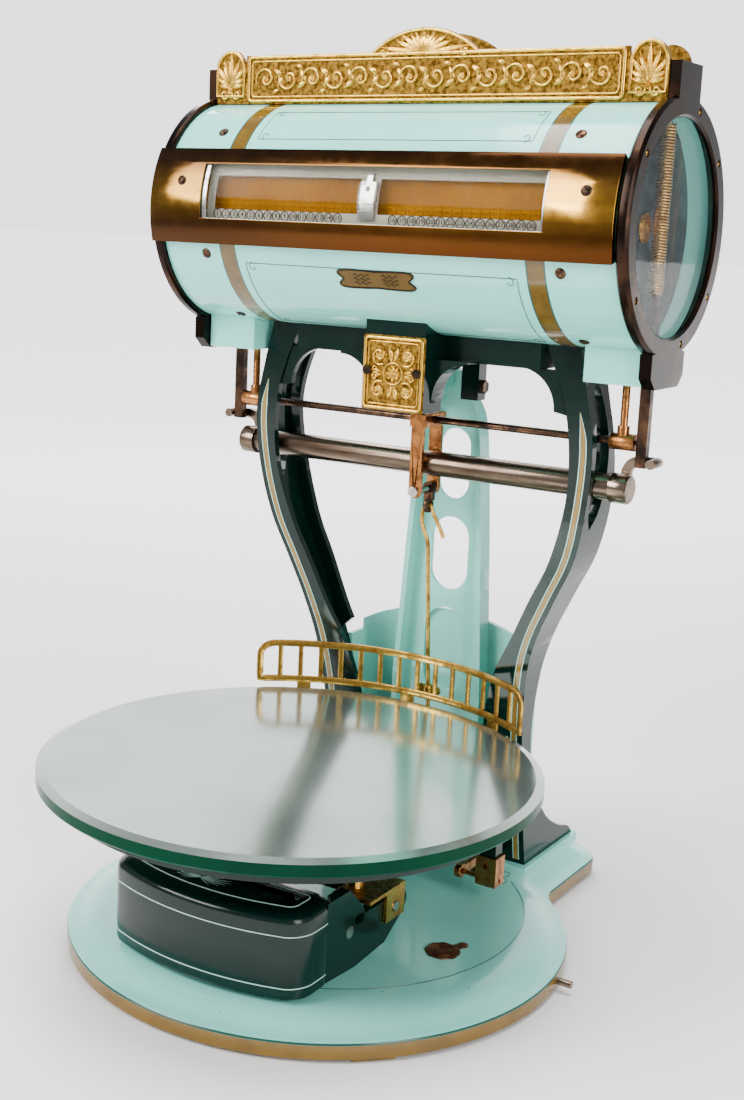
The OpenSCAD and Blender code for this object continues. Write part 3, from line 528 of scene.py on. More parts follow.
def dress(material, bevel, segments, *nodes):
    """Gives CAD nodes their finish, with softened edges where bevel is set."""
    for node in nodes:
        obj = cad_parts[node]
        obj.data.materials.clear()
        obj.data.materials.append(material)
        if bevel:
            obj.modifiers.new("weld", "WELD").merge_threshold = 2e-6
            soften(obj, bevel, segments, 32)


# ---------------------------------------------------------------- base

WAIST_R, CORNER_R = 30 * MM, 24 * MM


def base_ring(inset, z):
    """The outline of the base, set in from its edge, at a height."""
    side, lobe, waist, corner = SIDE_X - inset, BASE_R - inset, WAIST_R + inset, CORNER_R - inset / 2
    wx = side + waist
    wy = LOBE_Y + sqrt((lobe + waist) ** 2 - wx ** 2)
    wa = degrees(atan2(wy - LOBE_Y, wx))
    cx = side - corner
    cy = REAR_CY + sqrt((lobe - corner) ** 2 - cx ** 2)
    ca = degrees(atan2(cy - REAR_CY, cx))
    half = arc(0, LOBE_Y, lobe, -90, wa, 56) + arc(wx, wy, waist, 180 + wa, 180, 14)
    half += arc(cx, cy, corner, 0, ca, 12) + arc(0, REAR_CY, lobe, ca, 90, 20)
    return [Vector((x, y, z)) for x, y in mirrored(half)[:-1]]


def make_base():
    bm = bmesh.new()
    # Inset and height of the rolled top edge, from the rim to the flat
    roll = [(0.0, 3.0), (0.0, 14.6), (0.5, 15.5), (1.6, 16.0), (5.0, 16.4), (9.0, 17.4), (13.0, 19.4),
            (17.5, 22.2), (23.0, 24.6), (29.0, 26.1), (35.0, 26.8), (42.0, 27.0)]
    under = [(9.0, 11.0), (9.0, 3.0)]
    loft(bm, [base_ring(inset * MM, z * MM) for inset, z in under + roll])
    # Raised seats under the pillar feet
    for side in (-1, 1):
        low, high = sorted((side * 62 * MM, side * 110 * MM))
        block(bm, (low, 138 * MM, 20 * MM), (high, 251 * MM, 29 * MM))
    piece("base", bm, "frame", base_enamel, ["base_casting"], bevel=0.0008, angle=40)
    pads = bmesh.new()
    pad_in, pad_high, half_way = 9 * MM, 4 * MM, 0.707
    outline = [(-18 * MM, 5 * MM), (18 * MM, 5 * MM), (16 * MM, -6.5 * MM), (-16 * MM, -6.5 * MM)]
    for side in (1, -1):
        reach = BASE_R - pad_in
        middle = Vector((side * half_way * reach, LOBE_Y - half_way * reach, 0))
        turn = Matrix.Rotation(radians(side * 45), 3, "Z")
        prism(pads, outline, lambda u, v, w, m=middle, t=turn: m + t @ Vector((u, v, w)), pad_high)
    for side in (-1, 1):
        x = side * SIDE_X - side * pad_in
        block(pads, (x - 6 * MM, 170 * MM, 0), (x + 6 * MM, 208 * MM, pad_high))
    piece("base_pads", pads, "frame", base_enamel, bevel=0.0006)


def make_base_lines():
    """The thin dark line round the flat of the base, with small curls at its ends."""
    bm = bmesh.new()
    radius, centre_y, z = 166 * MM, LOBE_Y + 19 * MM, BASE_TOP + 0.12 * MM
    start, end, curl_points, curl_r = -228.0, 48.0, 26, 13 * MM
    line = [Vector((x, y, z)) for x, y in arc(0, centre_y, radius, start, end, 220)]
    tube(bm, line, 0.42 * MM, sides=6, flat=0.35)
    a = radians(end)
    for side in (-1, 1):
        end_point = Vector((side * radius * cos(a), centre_y + radius * sin(a), z))
        for turn in (-1, 1):
            curl = []
            for k in range(curl_points):
                t = k / (curl_points - 1)
                r = curl_r * (1 - 0.72 * t)
                phi = radians(90 + 250 * t)
                x = side * (-11 * MM + turn * 2 * MM) - side * r * cos(phi) * 0.6
                y = turn * (r * sin(phi) - curl_r) * 0.7 + 3 * MM
                curl.append(end_point + Vector((x, y, 0)))
            tube(bm, curl, 0.34 * MM, sides=6, flat=0.4)
    piece("base_lines", bm, "frame", dark_line)


def make_escutcheon():
    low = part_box("escutcheon")[0]
    bm = bmesh.new()
    radius, disc_high = 14 * MM, 1.0 * MM
    cx, cy = low.x + radius, low.y + radius
    screw_x, screw_y = cx + 8.5 * MM, cy + 18.5 * MM

    def place(u, v, w):
        return Vector((u, v, low.z + w))

    outline = []
    for k in range(48):
        a = TAU * k / 48
        r = radius * (1 - 0.035 * cos(8 * a))
        outline.append((cx + r * cos(a), cy + r * sin(a)))
    prism(bm, outline, place, disc_high)
    ring = [place(x, y, disc_high) for x, y in circle(cx, cy, 9.5 * MM, 40)]
    tube(bm, ring, 0.7 * MM, closed=True, sides=8)
    prism(bm, arc(screw_x, screw_y, 4.2 * MM, -60, 190, 16), place, 1.2 * MM)
    neck = [(cx + u * MM, cy + v * MM) for u, v in ((2, 12), (9, 10), (12, 18), (5, 19))]
    prism(bm, neck, place, 1.1 * MM)
    screw_head(bm, place(screw_x, screw_y, 1.1 * MM), (0, 0, 1), 2.2 * MM, 0.9 * MM)
    piece("level_escutcheon", bm, "frame", rust_brown, ["escutcheon"], bevel=0.0003)


# ---------------------------------------------------------------- pillars

STRIPE_INSET = 8.2 * MM


def stripe_line(side, node):
    """Points down the front of a pillar, a little in from its outer edge."""
    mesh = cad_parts[node].data
    solid = BVHTree.FromPolygons([v.co for v in mesh.vertices], [p.vertices for p in mesh.polygons])

    def front_at(x, z):
        return solid.ray_cast(Vector((x, -0.4, z)), Vector((0, 1, 0)))[0]

    top, foot, rows = 452 * MM, 33 * MM, 90
    centre = []
    for k in range(rows + 1):
        z = top + (foot - top) * k / rows
        fronts = [front_at(side * x, z) for x in (0.150, 0.140, 0.125, 0.110, 0.098, 0.088)]
        fronts = [hit for hit in fronts if hit is not None and hit.y < AXIS_Y + 60 * MM]
        if not fronts:
            continue
        edge = solid.ray_cast(Vector((side * 0.4, fronts[0].y + 2 * MM, z)), Vector((-side, 0, 0)))[0]
        if edge is None:
            continue
        x = edge.x - side * STRIPE_INSET
        front = front_at(x, z)
        if front is not None:
            centre.append(Vector((x, front.y, z)))
    return centre


def pillar_stripe(side):
    """The gold line and its pale borders down the front of a pillar, laid on the CAD surface."""
    node = "pillar_right" if side > 0 else "pillar_left"
    centre = stripe_line(side, node)
    # Name, paint, left and right edges and thickness of each line
    ribbons = (("gold", gold_line, -1.7, 1.7, 0.16), ("pale_out", pale_line, 2.2, 3.1, 0.2),
               ("pale_in", pale_line, -3.1, -2.2, 0.2))
    for label, material, left, right, lift in ribbons:
        bm = bmesh.new()
        rings = []
        for i, p in enumerate(centre):
            narrow = min(1.0, (i + 0.4) / 5.0)
            a, b, front = left * narrow * MM, right * narrow * MM, -lift * MM
            rings.append([p + Vector((x, y, 0)) for x, y in ((a, 0), (a, front), (b, front), (b, 0))])
        loft(bm, rings)
        piece(f"{node}_{label}_line", bm, "frame", material, smooth=False)


# ---------------------------------------------------------------- ornament


def leaf(bm, place, x, y, length, width, turn, lift):
    """A ribbed leaf or petal, thick in the middle and thin at its edge."""
    a = radians(turn)
    rows, cols = 8, 6
    cos_a, sin_a = cos(a), sin(a)
    rings = []
    for i in range(rows + 1):
        t = i / rows
        half = width / 2 * sin(pi * min(1.0, t * 0.94 + 0.03)) ** 0.7
        swell = 0.45 + 0.55 * sin(pi * t)
        stem_x, stem_y = x + length * t * cos_a, y + length * t * sin_a
        ring = []
        for j in range(cols + 1):
            s = j / cols * 2 - 1
            vein = lift * 0.25 * exp(-(s * 5) ** 2)
            rise = lift * (1 - s * s) ** 0.5 * swell - vein
            ring.append(place(stem_x - half * s * sin_a, stem_y + half * s * cos_a, max(rise, 0.0)))
        ring.append(place(stem_x, stem_y, -0.3 * MM))
        rings.append(ring)
    loft(bm, rings)


def scroll(bm, place, path, radius, lift=0.0):
    """A raised stem along a path, thickest in its middle."""
    last = len(path) - 1
    taper = [0.45 + 0.55 * sin(pi * (0.12 + 0.83 * i / last)) for i in range(last + 1)]
    tube(bm, [place(u, v, lift) for u, v in path], radius, sides=8, taper=taper)


def wire(bm, place, path, radius, lift):
    """A raised line round a closed path."""
    tube(bm, [place(u, v, lift) for u, v in path], radius, closed=True, sides=8)


def rosette(bm, place, x, y, radius, petals, lift):
    for k in range(petals):
        leaf(bm, place, x, y, radius, radius * TAU * 1.05 / petals * 0.62, 360 * k / petals, lift)
    boss = ((0.27, 0.0), (0.24, 0.7), (0.12, 1.25))
    loft(bm, [[place(u, v, lift * high) for u, v in circle(x, y, radius * size, 14)] for size, high in boss])


def make_ornament_plate():
    low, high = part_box("ornament_plate")
    mid_x, mid_z = (low.x + high.x) / 2, (low.z + high.z) / 2
    half_w, half_h = (high.x - low.x) / 2, (high.z - low.z) / 2
    face_y = low.y + 2.6 * MM

    def place(u, v, w):
        return Vector((mid_x + u, face_y - w, mid_z + v))

    plate = bmesh.new()
    outline = rounded_rect(half_w, half_h, 2 * MM)
    prism(plate, outline, lambda u, v, w: place(u, v, w - (high.y - face_y)), high.y - face_y)
    # The ground plate takes the darker brass that paints shade behind the relief
    piece("ornament_ground", plate, "frame", shaded_cast_ground, ["ornament_plate"], bevel=0.0006)
    bm = bmesh.new()
    for inset, radius, lift in ((2.4 * MM, 1.5 * MM, 0.4 * MM), (5.6 * MM, 0.6 * MM, 0.2 * MM)):
        wire(bm, place, rounded_rect(half_w - inset, half_h - inset, 3 * MM, 6), radius, lift)
    rosette(bm, place, 0, 0, 7 * MM, 8, 1.9 * MM)
    wire(bm, place, circle(0, 0, 9 * MM, 40), 0.7 * MM, 0.3 * MM)
    big = spiral(13.5 * MM, 14 * MM, 7.5 * MM, 1.2 * MM, -120, 470)
    small = spiral(17.5 * MM, 3.2 * MM, 3.8 * MM, 0.8 * MM, 200, 380, 22)
    for sx in (-1, 1):
        for sy in (-1, 1):
            for path, radius, lift in ((big, 1.25, 0.5), (small, 0.9, 0.4)):
                scroll(bm, place, [(sx * u, sy * v) for u, v in path], radius * MM, lift * MM)
            for turn, length in ((35, 8.5), (70, 9.5), (12, 7.5), (100, 7)):
                angle = sy * (turn if sx > 0 else 180 - turn)
                leaf(bm, place, sx * 11 * MM, sy * 12 * MM, length * MM, 3.2 * MM, angle, 1.4 * MM)
            upright = 90 * sy - sx * sy * 12
            leaf(bm, place, sx * 1.5 * MM, sy * 10.5 * MM, 11 * MM, 4.0 * MM, upright, 1.7 * MM)
            outward = (0 if sx > 0 else 180) + sx * sy * 10
            leaf(bm, place, sx * 10.5 * MM, sy * 1.2 * MM, 9 * MM, 3.0 * MM, outward, 1.5 * MM)
    piece("ornament_relief", bm, "frame", cast_brass, angle=60)


# ---------------------------------------------------------------- marquee

BOARD_TOP = 135 * MM
CREST_R = 78 * MM
CREST_Z = 76 * MM
BLOCK_X, BLOCK_HALF, BLOCK_SHOULDER = 196 * MM, 16 * MM, 123 * MM


def arch(cx, half_width, rise, start, stop):
    """Points over the top of an end block, every 12 degrees."""
    angles = [radians(a) for a in range(start, stop, 12)]
    return [(cx + half_width * cos(a), BLOCK_SHOULDER + rise * sin(a)) for a in angles]


def marquee_outline():
    """Outline of a marquee plate in (x, height above the axis)."""
    low = sqrt(BARREL_R ** 2 - (22.7 * MM) ** 2) + 0.4 * MM
    block_low = 98.9 * MM
    right = [(210.5 * MM, low), (211 * MM, block_low), (212 * MM, block_low), (212 * MM, BLOCK_SHOULDER)]
    right += arch(BLOCK_X, BLOCK_HALF, 17 * MM, 12, 169) + [(180 * MM, 125 * MM), (179.5 * MM, BOARD_TOP)]
    return mirrored(right + arc(0, CREST_Z, CREST_R, 49.3, 90, 18))


def panel_border(half, z0, z1, r):
    """A rounded rectangle with points close enough together for a smooth wire."""
    mid_z = (z0 + z1) / 2
    points = [(u, mid_z + v) for u, v in rounded_rect(half, (z1 - z0) / 2, r)]
    dense = []
    for (ax, az), (bx, bz) in zip(points, points[1:] + points[:1]):
        cells = max(1, int(hypot(bx - ax, bz - az) / (12 * MM)))
        dense += [(ax + (bx - ax) * i / cells, az + (bz - az) * i / cells) for i in range(cells)]
    return dense


def running_scroll(bm, place, mid_z):
    """Scrolls, rosettes and leaves along the panel, in place of the lettering."""
    count, span = 14, 316 * MM
    step = span / (count - 1)
    # Share of a step, height, length, width, turn and lift of each leaf
    leaves = ((0.36, 8.0, 10, 4.6, -35, 1.7), (0.5, -7.0, 10, 4.0, 60, 1.6), (0.3, -11.5, 7, 3.4, 20, 1.3))
    for k in range(count):
        x = -span / 2 + span * k / (count - 1)
        flip = 1 if k % 2 == 0 else -1
        wave = [(x + u, mid_z + flip * v) for u, v in spiral(0, 0, 10.6 * MM, 1.3 * MM, 200, -430)]
        scroll(bm, place, wave, 1.25 * MM, 0.5 * MM)
        rosette(bm, place, x, mid_z, 3.0 * MM, 6, 1.3 * MM)
        for along, high, length, width, turn, lift in leaves if k < count - 1 else ():
            at_x, at_z = x + step * along, mid_z + flip * high * MM
            leaf(bm, place, at_x, at_z, length * MM, width * MM, turn * flip, lift * MM)


def end_block(bm, place, side):
    """A framed palmette with two curls."""
    cx, cz, half = side * BLOCK_X, 103 * MM, 14.5 * MM
    outline = [(cx - half, 100.5 * MM), (cx + half, 100.5 * MM), (cx + half, BLOCK_SHOULDER)]
    outline += arch(cx, half, 15.4 * MM, 12, 180) + [(cx - half, BLOCK_SHOULDER)]
    wire(bm, place, outline, 1.5 * MM, 0.3 * MM)
    for k in range(9):
        turn = 10 + 160 * k / 8
        sine = sin(radians(turn))
        length = (18 + 11 * sine) * MM * (1.0 if k % 2 == 0 else 0.86) * (0.60 + 0.40 * sine)
        leaf(bm, place, cx, cz + 5 * MM, length, 4.6 * MM, turn, 2.2 * MM)
    for s in (-1, 1):
        curl = spiral(6.5 * MM, -1 * MM, 4.6 * MM, 1.0 * MM, 150, 420)
        scroll(bm, place, [(cx + s * u, cz + v) for u, v in curl], 1.1 * MM, 0.5 * MM)
    rosette(bm, place, cx, cz + 2 * MM, 3.4 * MM, 6, 2.2 * MM)


def fan_crest(bm, place):
    """A fan of leaves under an arc, with a curl at each end."""
    crest_z = 133 * MM
    drop = crest_z - CREST_Z
    for k in range(13):
        turn = 8 + 164 * k / 12
        fall = drop * sin(radians(turn))
        reach = -fall + sqrt(fall ** 2 + CREST_R ** 2 - drop ** 2)
        length = (reach - 4 * MM) * (1.0 if k % 2 == 0 else 0.88)
        leaf(bm, place, 0, crest_z, length, 5.0 * MM, turn, 2.2 * MM)
    crest_arc = [place(x, z, 0.2 * MM) for x, z in arc(0, CREST_Z, CREST_R - 1.8 * MM, 50, 130, 36)]
    tube(bm, crest_arc, 1.4 * MM, sides=8)
    for s in (-1, 1):
        curl = spiral(38 * MM, 134.5 * MM, 3.6 * MM, 0.9 * MM, 150, 400)
        scroll(bm, place, [(s * u, v) for u, v in curl], 1.2 * MM, 0.6 * MM)


def make_marquee(node, facing):
    """One cast brass plate; facing is -1 for the front one and 1 for the rear one."""
    low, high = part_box(node)
    face_y, back_y = (low.y, high.y) if facing < 0 else (high.y, low.y)
    relief = 2.0 * MM
    face_y -= facing * relief

    def place(u, v, w):
        return Vector((u, face_y + facing * w, AXIS_Z + v))

    plate = bmesh.new()
    loft(plate, [[Vector((u, y, AXIS_Z + v)) for u, v in marquee_outline()] for y in (back_y, face_y)])
    # The ground plate takes the darker brass that paints shade behind the relief
    piece(f"{node}_ground", plate, "frame", shaded_cast_ground, [node], bevel=0.0006, angle=50)
    bm = bmesh.new()
    z0, z1 = 96.5 * MM, 133.4 * MM
    for inset, radius in ((0.0, 1.6 * MM), (3.6 * MM, 0.8 * MM)):
        wire(bm, place, panel_border(176 * MM - inset, z0 + inset, z1 - inset, 3 * MM), radius, 0.3 * MM)
    running_scroll(bm, place, (z0 + z1) / 2)
    for side in (-1, 1):
        end_block(bm, place, side)
    fan_crest(bm, place)
    piece(f"{node}_relief", bm, "frame", cast_brass, angle=60)


# ---------------------------------------------------------------- barrel front

WINDOW_LOW, WINDOW_HIGH = -4.0, 24.2
CHART_LOW, CHART_HIGH = 1.3, 19.4


def make_window():
    """Thin silver bezel, blank strips above and below the chart, and the pointer bracket."""
    left, right, cx = WINDOW_CX - WINDOW_HALF, WINDOW_CX + WINDOW_HALF, WINDOW_CX
    low, high = WINDOW_LOW, WINDOW_HIGH
    bezel = bmesh.new()
    edge = 0.8
    for x0, x1, a0, a1, cells in (
            (left, right, low, low + edge, 3), (left, right, high - edge, high, 3),
            (left, left + 4.5 * MM, low, high, 20), (right - 2 * MM, right, low, high, 20)):
        curved_panel(bezel, x0, x1, a0, a1, 97.8 * MM, 101.2 * MM, cells)
    piece("window_bezel", bezel, "frame", silver_trim, bevel=0.0005)
    strips = bmesh.new()
    inner, outer = 90 * MM, 91.2 * MM
    for a0, a1 in ((CHART_HIGH, high + 3), (low - 4, CHART_LOW)):
        curved_panel(strips, left - 4 * MM, right + 4 * MM, a0, a1, inner, outer, 6)
    for x, before, after in ((left, 5, 6), (right, 6, 5), (cx, 9, 9)):
        curved_panel(strips, x - before * MM, x + after * MM, low - 4, high + 3, inner, outer - 0.1 * MM, 16)
    piece("reading_strips", strips, "frame", white_strip, ["reading_frame"])
    pointer = bmesh.new()
    # Half width, lower and upper angle, inner and outer radius of the head, the stem and the tip
    for half, a0, a1, r0, r1, cells in (
            (8.5, 6.0, 17.0, 92.0, 94.0, 8), (7.5, CHART_LOW - 3, 6.0, 92.0, 93.2, 8),
            (2.5, 17.0, 21.5, 92.4, 93.6, 4)):
        curved_panel(pointer, cx - half * MM, cx + half * MM, a0, a1, r0 * MM, r1 * MM, cells)
    for s in (-1, 1):
        rib = [on_barrel(cx + s * 7.6 * MM, a, 94.0 * MM) for a in (3, 6, 9, 12, 15, 17)]
        tube(pointer, rib, 0.7 * MM, sides=8)
    screw_at = 13.5
    screw_head(pointer, on_barrel(cx, screw_at, 93.9 * MM), off_barrel(screw_at), 2.4 * MM, 1.0 * MM)
    piece("pointer_bracket", pointer, "frame", silver_trim, bevel=0.0004)


def make_numerals():
    """Circled numbers along the lower strip: 1 to 15 on the left and 16 to 30 on the right."""
    rings = bmesh.new()
    strip_r, middle, ring_r, pitch, per_side = 91.35 * MM, -1.25, 3.75 * MM, 8.7 * MM, 15
    starts = (WINDOW_CX - WINDOW_HALF + 10 * MM, WINDOW_CX + 24 * MM)
    for k in range(2 * per_side):
        x = starts[k // per_side] + pitch * (k % per_side)
        ring = [on_barrel(x + u, middle + degrees(v / strip_r), strip_r)
                for u, v in circle(0, 0, ring_r, 24)]
        tube(rings, ring, 0.42 * MM, closed=True, sides=5)
        name = f"numeral_{k + 1:02d}"
        curve = bpy.data.curves.new(name, "FONT")
        curve.body = str(k + 1)
        curve.size = 5.2 * MM
        curve.align_x, curve.align_y = "CENTER", "CENTER"
        curve.extrude = 0.06 * MM
        curve.offset = 0.05 * MM
        curve.materials.append(ink)
        label = bpy.data.objects.new(name, curve)
        bpy.context.scene.collection.objects.link(label)
        label.location = on_barrel(x, middle, strip_r + 0.05 * MM)
        label.rotation_euler = (radians(90 + middle), 0, 0)
        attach(label, "frame")
    piece("numeral_rings", rings, "frame", ink)


def make_pinstripes():
    """Thin dark lines on the shell between its gold bands, with a curl inside each corner."""
    bm = bmesh.new()
    r = BARREL_R + 0.1 * MM
    half, curl_points = 128, 22
    shares = [i / 24 for i in range(24)]
    for low, high in ((39.5, 62.0), (-74.0, -26.0)):
        corners = [(-half, low), (half, low), (half, high), (-half, high)]
        path = []
        for (ax, aa), (bx, ba) in zip(corners, corners[1:] + corners[:1]):
            path += [on_barrel((ax + (bx - ax) * t) * MM, aa + (ba - aa) * t, r) for t in shares]
        tube(bm, path, 0.32 * MM, closed=True, sides=6)
        for sx in (-1, 1):
            for edge, lean in ((low, 1), (high, -1)):
                curl = []
                for k in range(curl_points):
                    t = k / (curl_points - 1)
                    size = 4.6 * (1 - 0.8 * t)
                    phi = radians(-90 + 300 * t)
                    turn = edge + lean * (3.6 + size * sin(phi)) * 0.6
                    curl.append(on_barrel(sx * (121 + size * cos(phi)) * MM, turn, r))
                tube(bm, curl, 0.3 * MM, sides=6)
    piece("barrel_pinstripes", bm, "frame", dark_line)


def label_outline(half_w, half_h):
    """A small label with scrolled ears, pinched in the middle of its ends."""
    points = []
    for c, s in circle(0, 0, 1, 96):
        squareness = (abs(c) ** 6 + abs(s) ** 6) ** (-1 / 6)
        ears = 0.20 * exp(-(abs(c) / 0.62) ** 4) * abs(s) ** 3
        pinch = 1 - 0.13 * exp(-(abs(s) / 0.28) ** 2) - ears
        waist = 1 - 0.22 * (1 - abs(c)) ** 0.8
        points.append((half_w * c * squareness * pinch, half_h * s * squareness * waist))
    return points


def make_label():
    """A blank gilt label with a border and wavy lines in place of its lettering."""
    r, middle = BARREL_R + 0.1 * MM, -31.2
    outline = label_outline(37 * MM, 10.5 * MM)

    def place(u, v, lift):
        return on_barrel(u, middle + degrees(v / r), r + lift)

    plaque = bmesh.new()
    loft(plaque, [[place(u, v, lift) for u, v in outline] for lift in (-0.05 * MM, 0.35 * MM)])
    piece("blank_label", plaque, "frame", label_paint)
    border = bmesh.new()
    for scale, radius in ((0.97, 0.45), (0.86, 0.25)):
        squeeze = 1 - (1 - scale) * 0.4
        loop = [place(u * squeeze, v * scale, 0.4 * MM) for u, v in outline]
        tube(border, loop, radius * MM, closed=True, sides=6)
    shares = [i / 20 for i in range(21)]
    for s in (-1, 1):
        for row in (-1, 0, 1):
            waves = [on_barrel(s * (6 + 15 * t) * MM, middle + row * 2.2 + 0.8 * sin(TAU * t * 2.5),
                               r + 0.42 * MM) for t in shares]
            tube(border, waves, 0.28 * MM, sides=5)
    piece("blank_label_border", border, "frame", ink)


def make_screws():
    bm = bmesh.new()
    sunk = 0.1 * MM
    # Places along the barrel, angles, surface, head radius and head height
    for xs, angles, surface, radius, height in (((-168, 165), (44, -22, -68), BARREL_R, 4.6, 1.9),
                                                ((-188, 186), (14,), BAND_R, 4.4, 1.8)):
        for x in xs:
            for a in angles:
                at = on_barrel(x * MM, a, surface - sunk)
                screw_head(bm, at, off_barrel(a), radius * MM, height * MM, random.uniform(0, 3))
    piece("barrel_screw_heads", bm, "frame", oxidised, ["barrel_screws"])
    heads = bmesh.new()
    for s in (-1, 1):
        for a in (35, 75, 145, 215, 285, 325):
            y, z = arc(AXIS_Y, AXIS_Z, 92.5 * MM, a, a, 1)[0]
            at = Vector((s * (RING_X - 3.2 * MM), y, z))
            screw_head(heads, at, (s, 0, 0), 3.1 * MM, 3.0 * MM, random.uniform(0, 3))
    piece("ring_screw_heads", heads, "frame", old_brass, ["ring_screws"])


def make_springs():
    """Two long tension springs; each stretches between the barrel's lug and its rod."""
    gauge, turns, per_turn = 0.8 * MM, 56, 14
    count = turns * per_turn
    for label in ("left", "right"):
        low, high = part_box(f"spring_{label}")
        cx, cy = (low.x + high.x) / 2, (low.y + high.y) / 2
        coil_r = (high.x - low.x) / 2 - gauge
        span = high.z - low.z - 2 * gauge
        section = circle(cx, cy, coil_r, per_turn)
        helix = [(*section[k % per_turn], high.z - gauge - span * k / count) for k in range(count + 1)]
        bm = bmesh.new()
        tube(bm, helix, gauge, sides=6)
        obj = piece(f"spring_coil_{label}", bm, None, spring_wire, [f"spring_{label}"])
        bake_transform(obj)


# ---------------------------------------------------------------- platform


def flat_bar(bm, ends, side, out, half_w, half_t, r):
    """A bar with a rounded flat section between two points."""
    section = rounded_rect(half_w, half_t, r, 2)
    loft(bm, [[p + side * u + out * v for u, v in section] for p in ends])


def make_guard_rail():
    low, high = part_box("guard_rail")
    top, foot = high.z, PLATTER_TOP + 3.5 * MM
    radius = PLATTER_R + 1.9 * MM
    half, lean = 39.6, 3.2
    bar_half, corner = 3.1 * MM, 14 * MM
    corner_deg = degrees(corner / radius)
    up = Vector((0, 0, 1))

    def at(angle, z):
        a = radians(angle - lean)
        return Vector((radius * sin(a), PLATTER_Y + radius * cos(a), z))

    def outward_at(p):
        return Vector((p.x, p.y - PLATTER_Y, 0)).normalized()

    # The outline of the rail, as (degrees, height)
    rail_z, turn_z = foot + 2.4 * MM, top - corner
    end_up = [(half, rail_z + (turn_z - rail_z) * t) for t in (0.25, 0.5, 0.75, 1.0)]
    for u, v in arc(0, 0, 1, 12, 90, 6):
        end_up.append((half - corner_deg + corner_deg * u, turn_z + (corner - bar_half) * v))
    along = [(-half + 2 * half * i / 60, rail_z) for i in range(61)]
    back = [((half - corner_deg) * (1 - 2 * i / 60), top - bar_half) for i in range(1, 61)]
    path = [at(a, z) for a, z in along + end_up + back + [(-a, z) for a, z in reversed(end_up)]]
    bm = bmesh.new()
    rings = []
    for i, p in enumerate(path):
        tangent = (path[(i + 1) % len(path)] - path[i - 1]).normalized()
        outward = outward_at(p)
        across = tangent.cross(outward).normalized()
        rings.append([p + across * u + outward * v for u, v in rounded_rect(bar_half, 1.3 * MM, 0.7 * MM, 2)])
    loop_loft(bm, rings)
    gaps = 15
    for k in range(1, gaps):
        a = -half + 2 * half * k / gaps
        ends = at(a, foot + 2 * MM), at(a, top - 3 * MM)
        outward = outward_at(ends[0])
        flat_bar(bm, ends, outward.cross(up), outward, 2.3 * MM, 1.0 * MM, 0.6 * MM)
    # Tabs that reach down beside the glass and in under it
    tab_half, tab_thick = 6.5 * MM, 1.2 * MM
    for a in (-28, 0, 28):
        ends = at(a, low.z), at(a, foot + 3 * MM)
        outward = outward_at(ends[0])
        across = outward.cross(up)
        flat_bar(bm, ends, across, outward, tab_half, tab_thick, 0.6 * MM)
        toe = ends[0] + up * tab_thick
        flat_bar(bm, (toe - outward * 28 * MM, toe), across, up, tab_half, tab_thick, 0.6 * MM)
    piece("guard_rail_brass", bm, "platform", old_brass, ["guard_rail"], angle=50)


def curve_through(path, cells):
    """A smooth curve through points, with some cells between each two of them."""
    last = len(path) - 1
    points = []
    for i in range(last):
        around = [path[max(0, min(last, i + k))] for k in (-1, 0, 1, 2)]
        for j in range(cells):
            t = j / cells
            points.append([(2 * q + (r - p) * t + (2 * p - 5 * q + 4 * r - s) * t * t
                            + (3 * q - p - 3 * r + s) * t ** 3) / 2 for p, q, r, s in zip(*around)])
    return points + [path[-1]]


def make_hook_rod():
    """The round rod between the link and the lever, its open hook and its thumb nut."""
    lean = radians(6.1)
    link_low, link_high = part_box("yoke_link")
    origin = Vector(((link_low.x + link_high.x) / 2, LINK_Y + 9.8 * MM, 340.5 * MM))
    turn = Matrix.Rotation(lean, 3, "X")

    # From the hook's own place, in millimetres along its leaning axis
    def place(x, y, z):
        return origin + turn @ Vector((x * MM, y * MM, z * MM))

    hook = [(0, -40), (0, -32), (-1, -21), (-4.5, -12), (-6.2, -4), (-5.6, 4), (-3.2, 9.8), (0, 11.8),
            (3.2, 9.8), (5.2, 4.5), (7.5, 0), (11, -6.5), (15.6, -17.4)]
    nut_z, wing_z = -172, -165
    foot = (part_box("hook_rod")[0].z - origin.z) / MM / cos(lean) + 0.4
    bm = bmesh.new()
    tube(bm, [place(0, 0, foot)] + [place(x, 0, z) for x, z in curve_through(hook, 5)], 1.85 * MM, sides=14)
    for bottom, height, radius, sides in ((foot + 3, 7, 4.8, 6), (nut_z, 12, 4.0, 20)):
        chamfer = 0.6
        profile = ((radius - chamfer, 0), (radius, chamfer), (radius, height - chamfer),
                   (radius - chamfer, height))
        loft(bm, [[place(x, y, bottom + h) for x, y in circle(0, 0, r, sides)] for r, h in profile])
    for s in (-1, 1):
        wing = [(s * (7.6 + x), z) for x, z in circle(0, wing_z, 4.9, 24)]
        loft(bm, [[place(x, y, z) for x, z in wing] for y in (-1.0, 1.0)])
    piece("hook_rod_brass", bm, "crosshead", old_brass, ["hook_rod"], angle=50)


def counterweight_ring(inset, z, low, high):
    """Outline of the counterweight box: straight back, tapering sides and a bowed front."""
    cx, half = (low.x + high.x) / 2, (high.x - low.x) / 2
    rear_r, front_r, bow_r = 20 * MM, 24 * MM, 230 * MM
    right = arc(half - rear_r, high.y - rear_r, rear_r - inset, 90, 0, 10)
    right += arc(half - front_r, low.y + 35 * MM, front_r - inset, 0, -62, 12)
    right += arc(0, low.y + bow_r, bow_r - inset, 286.5, 270, 12)
    return [Vector((cx + x, y, z)) for x, y in mirrored(right)]


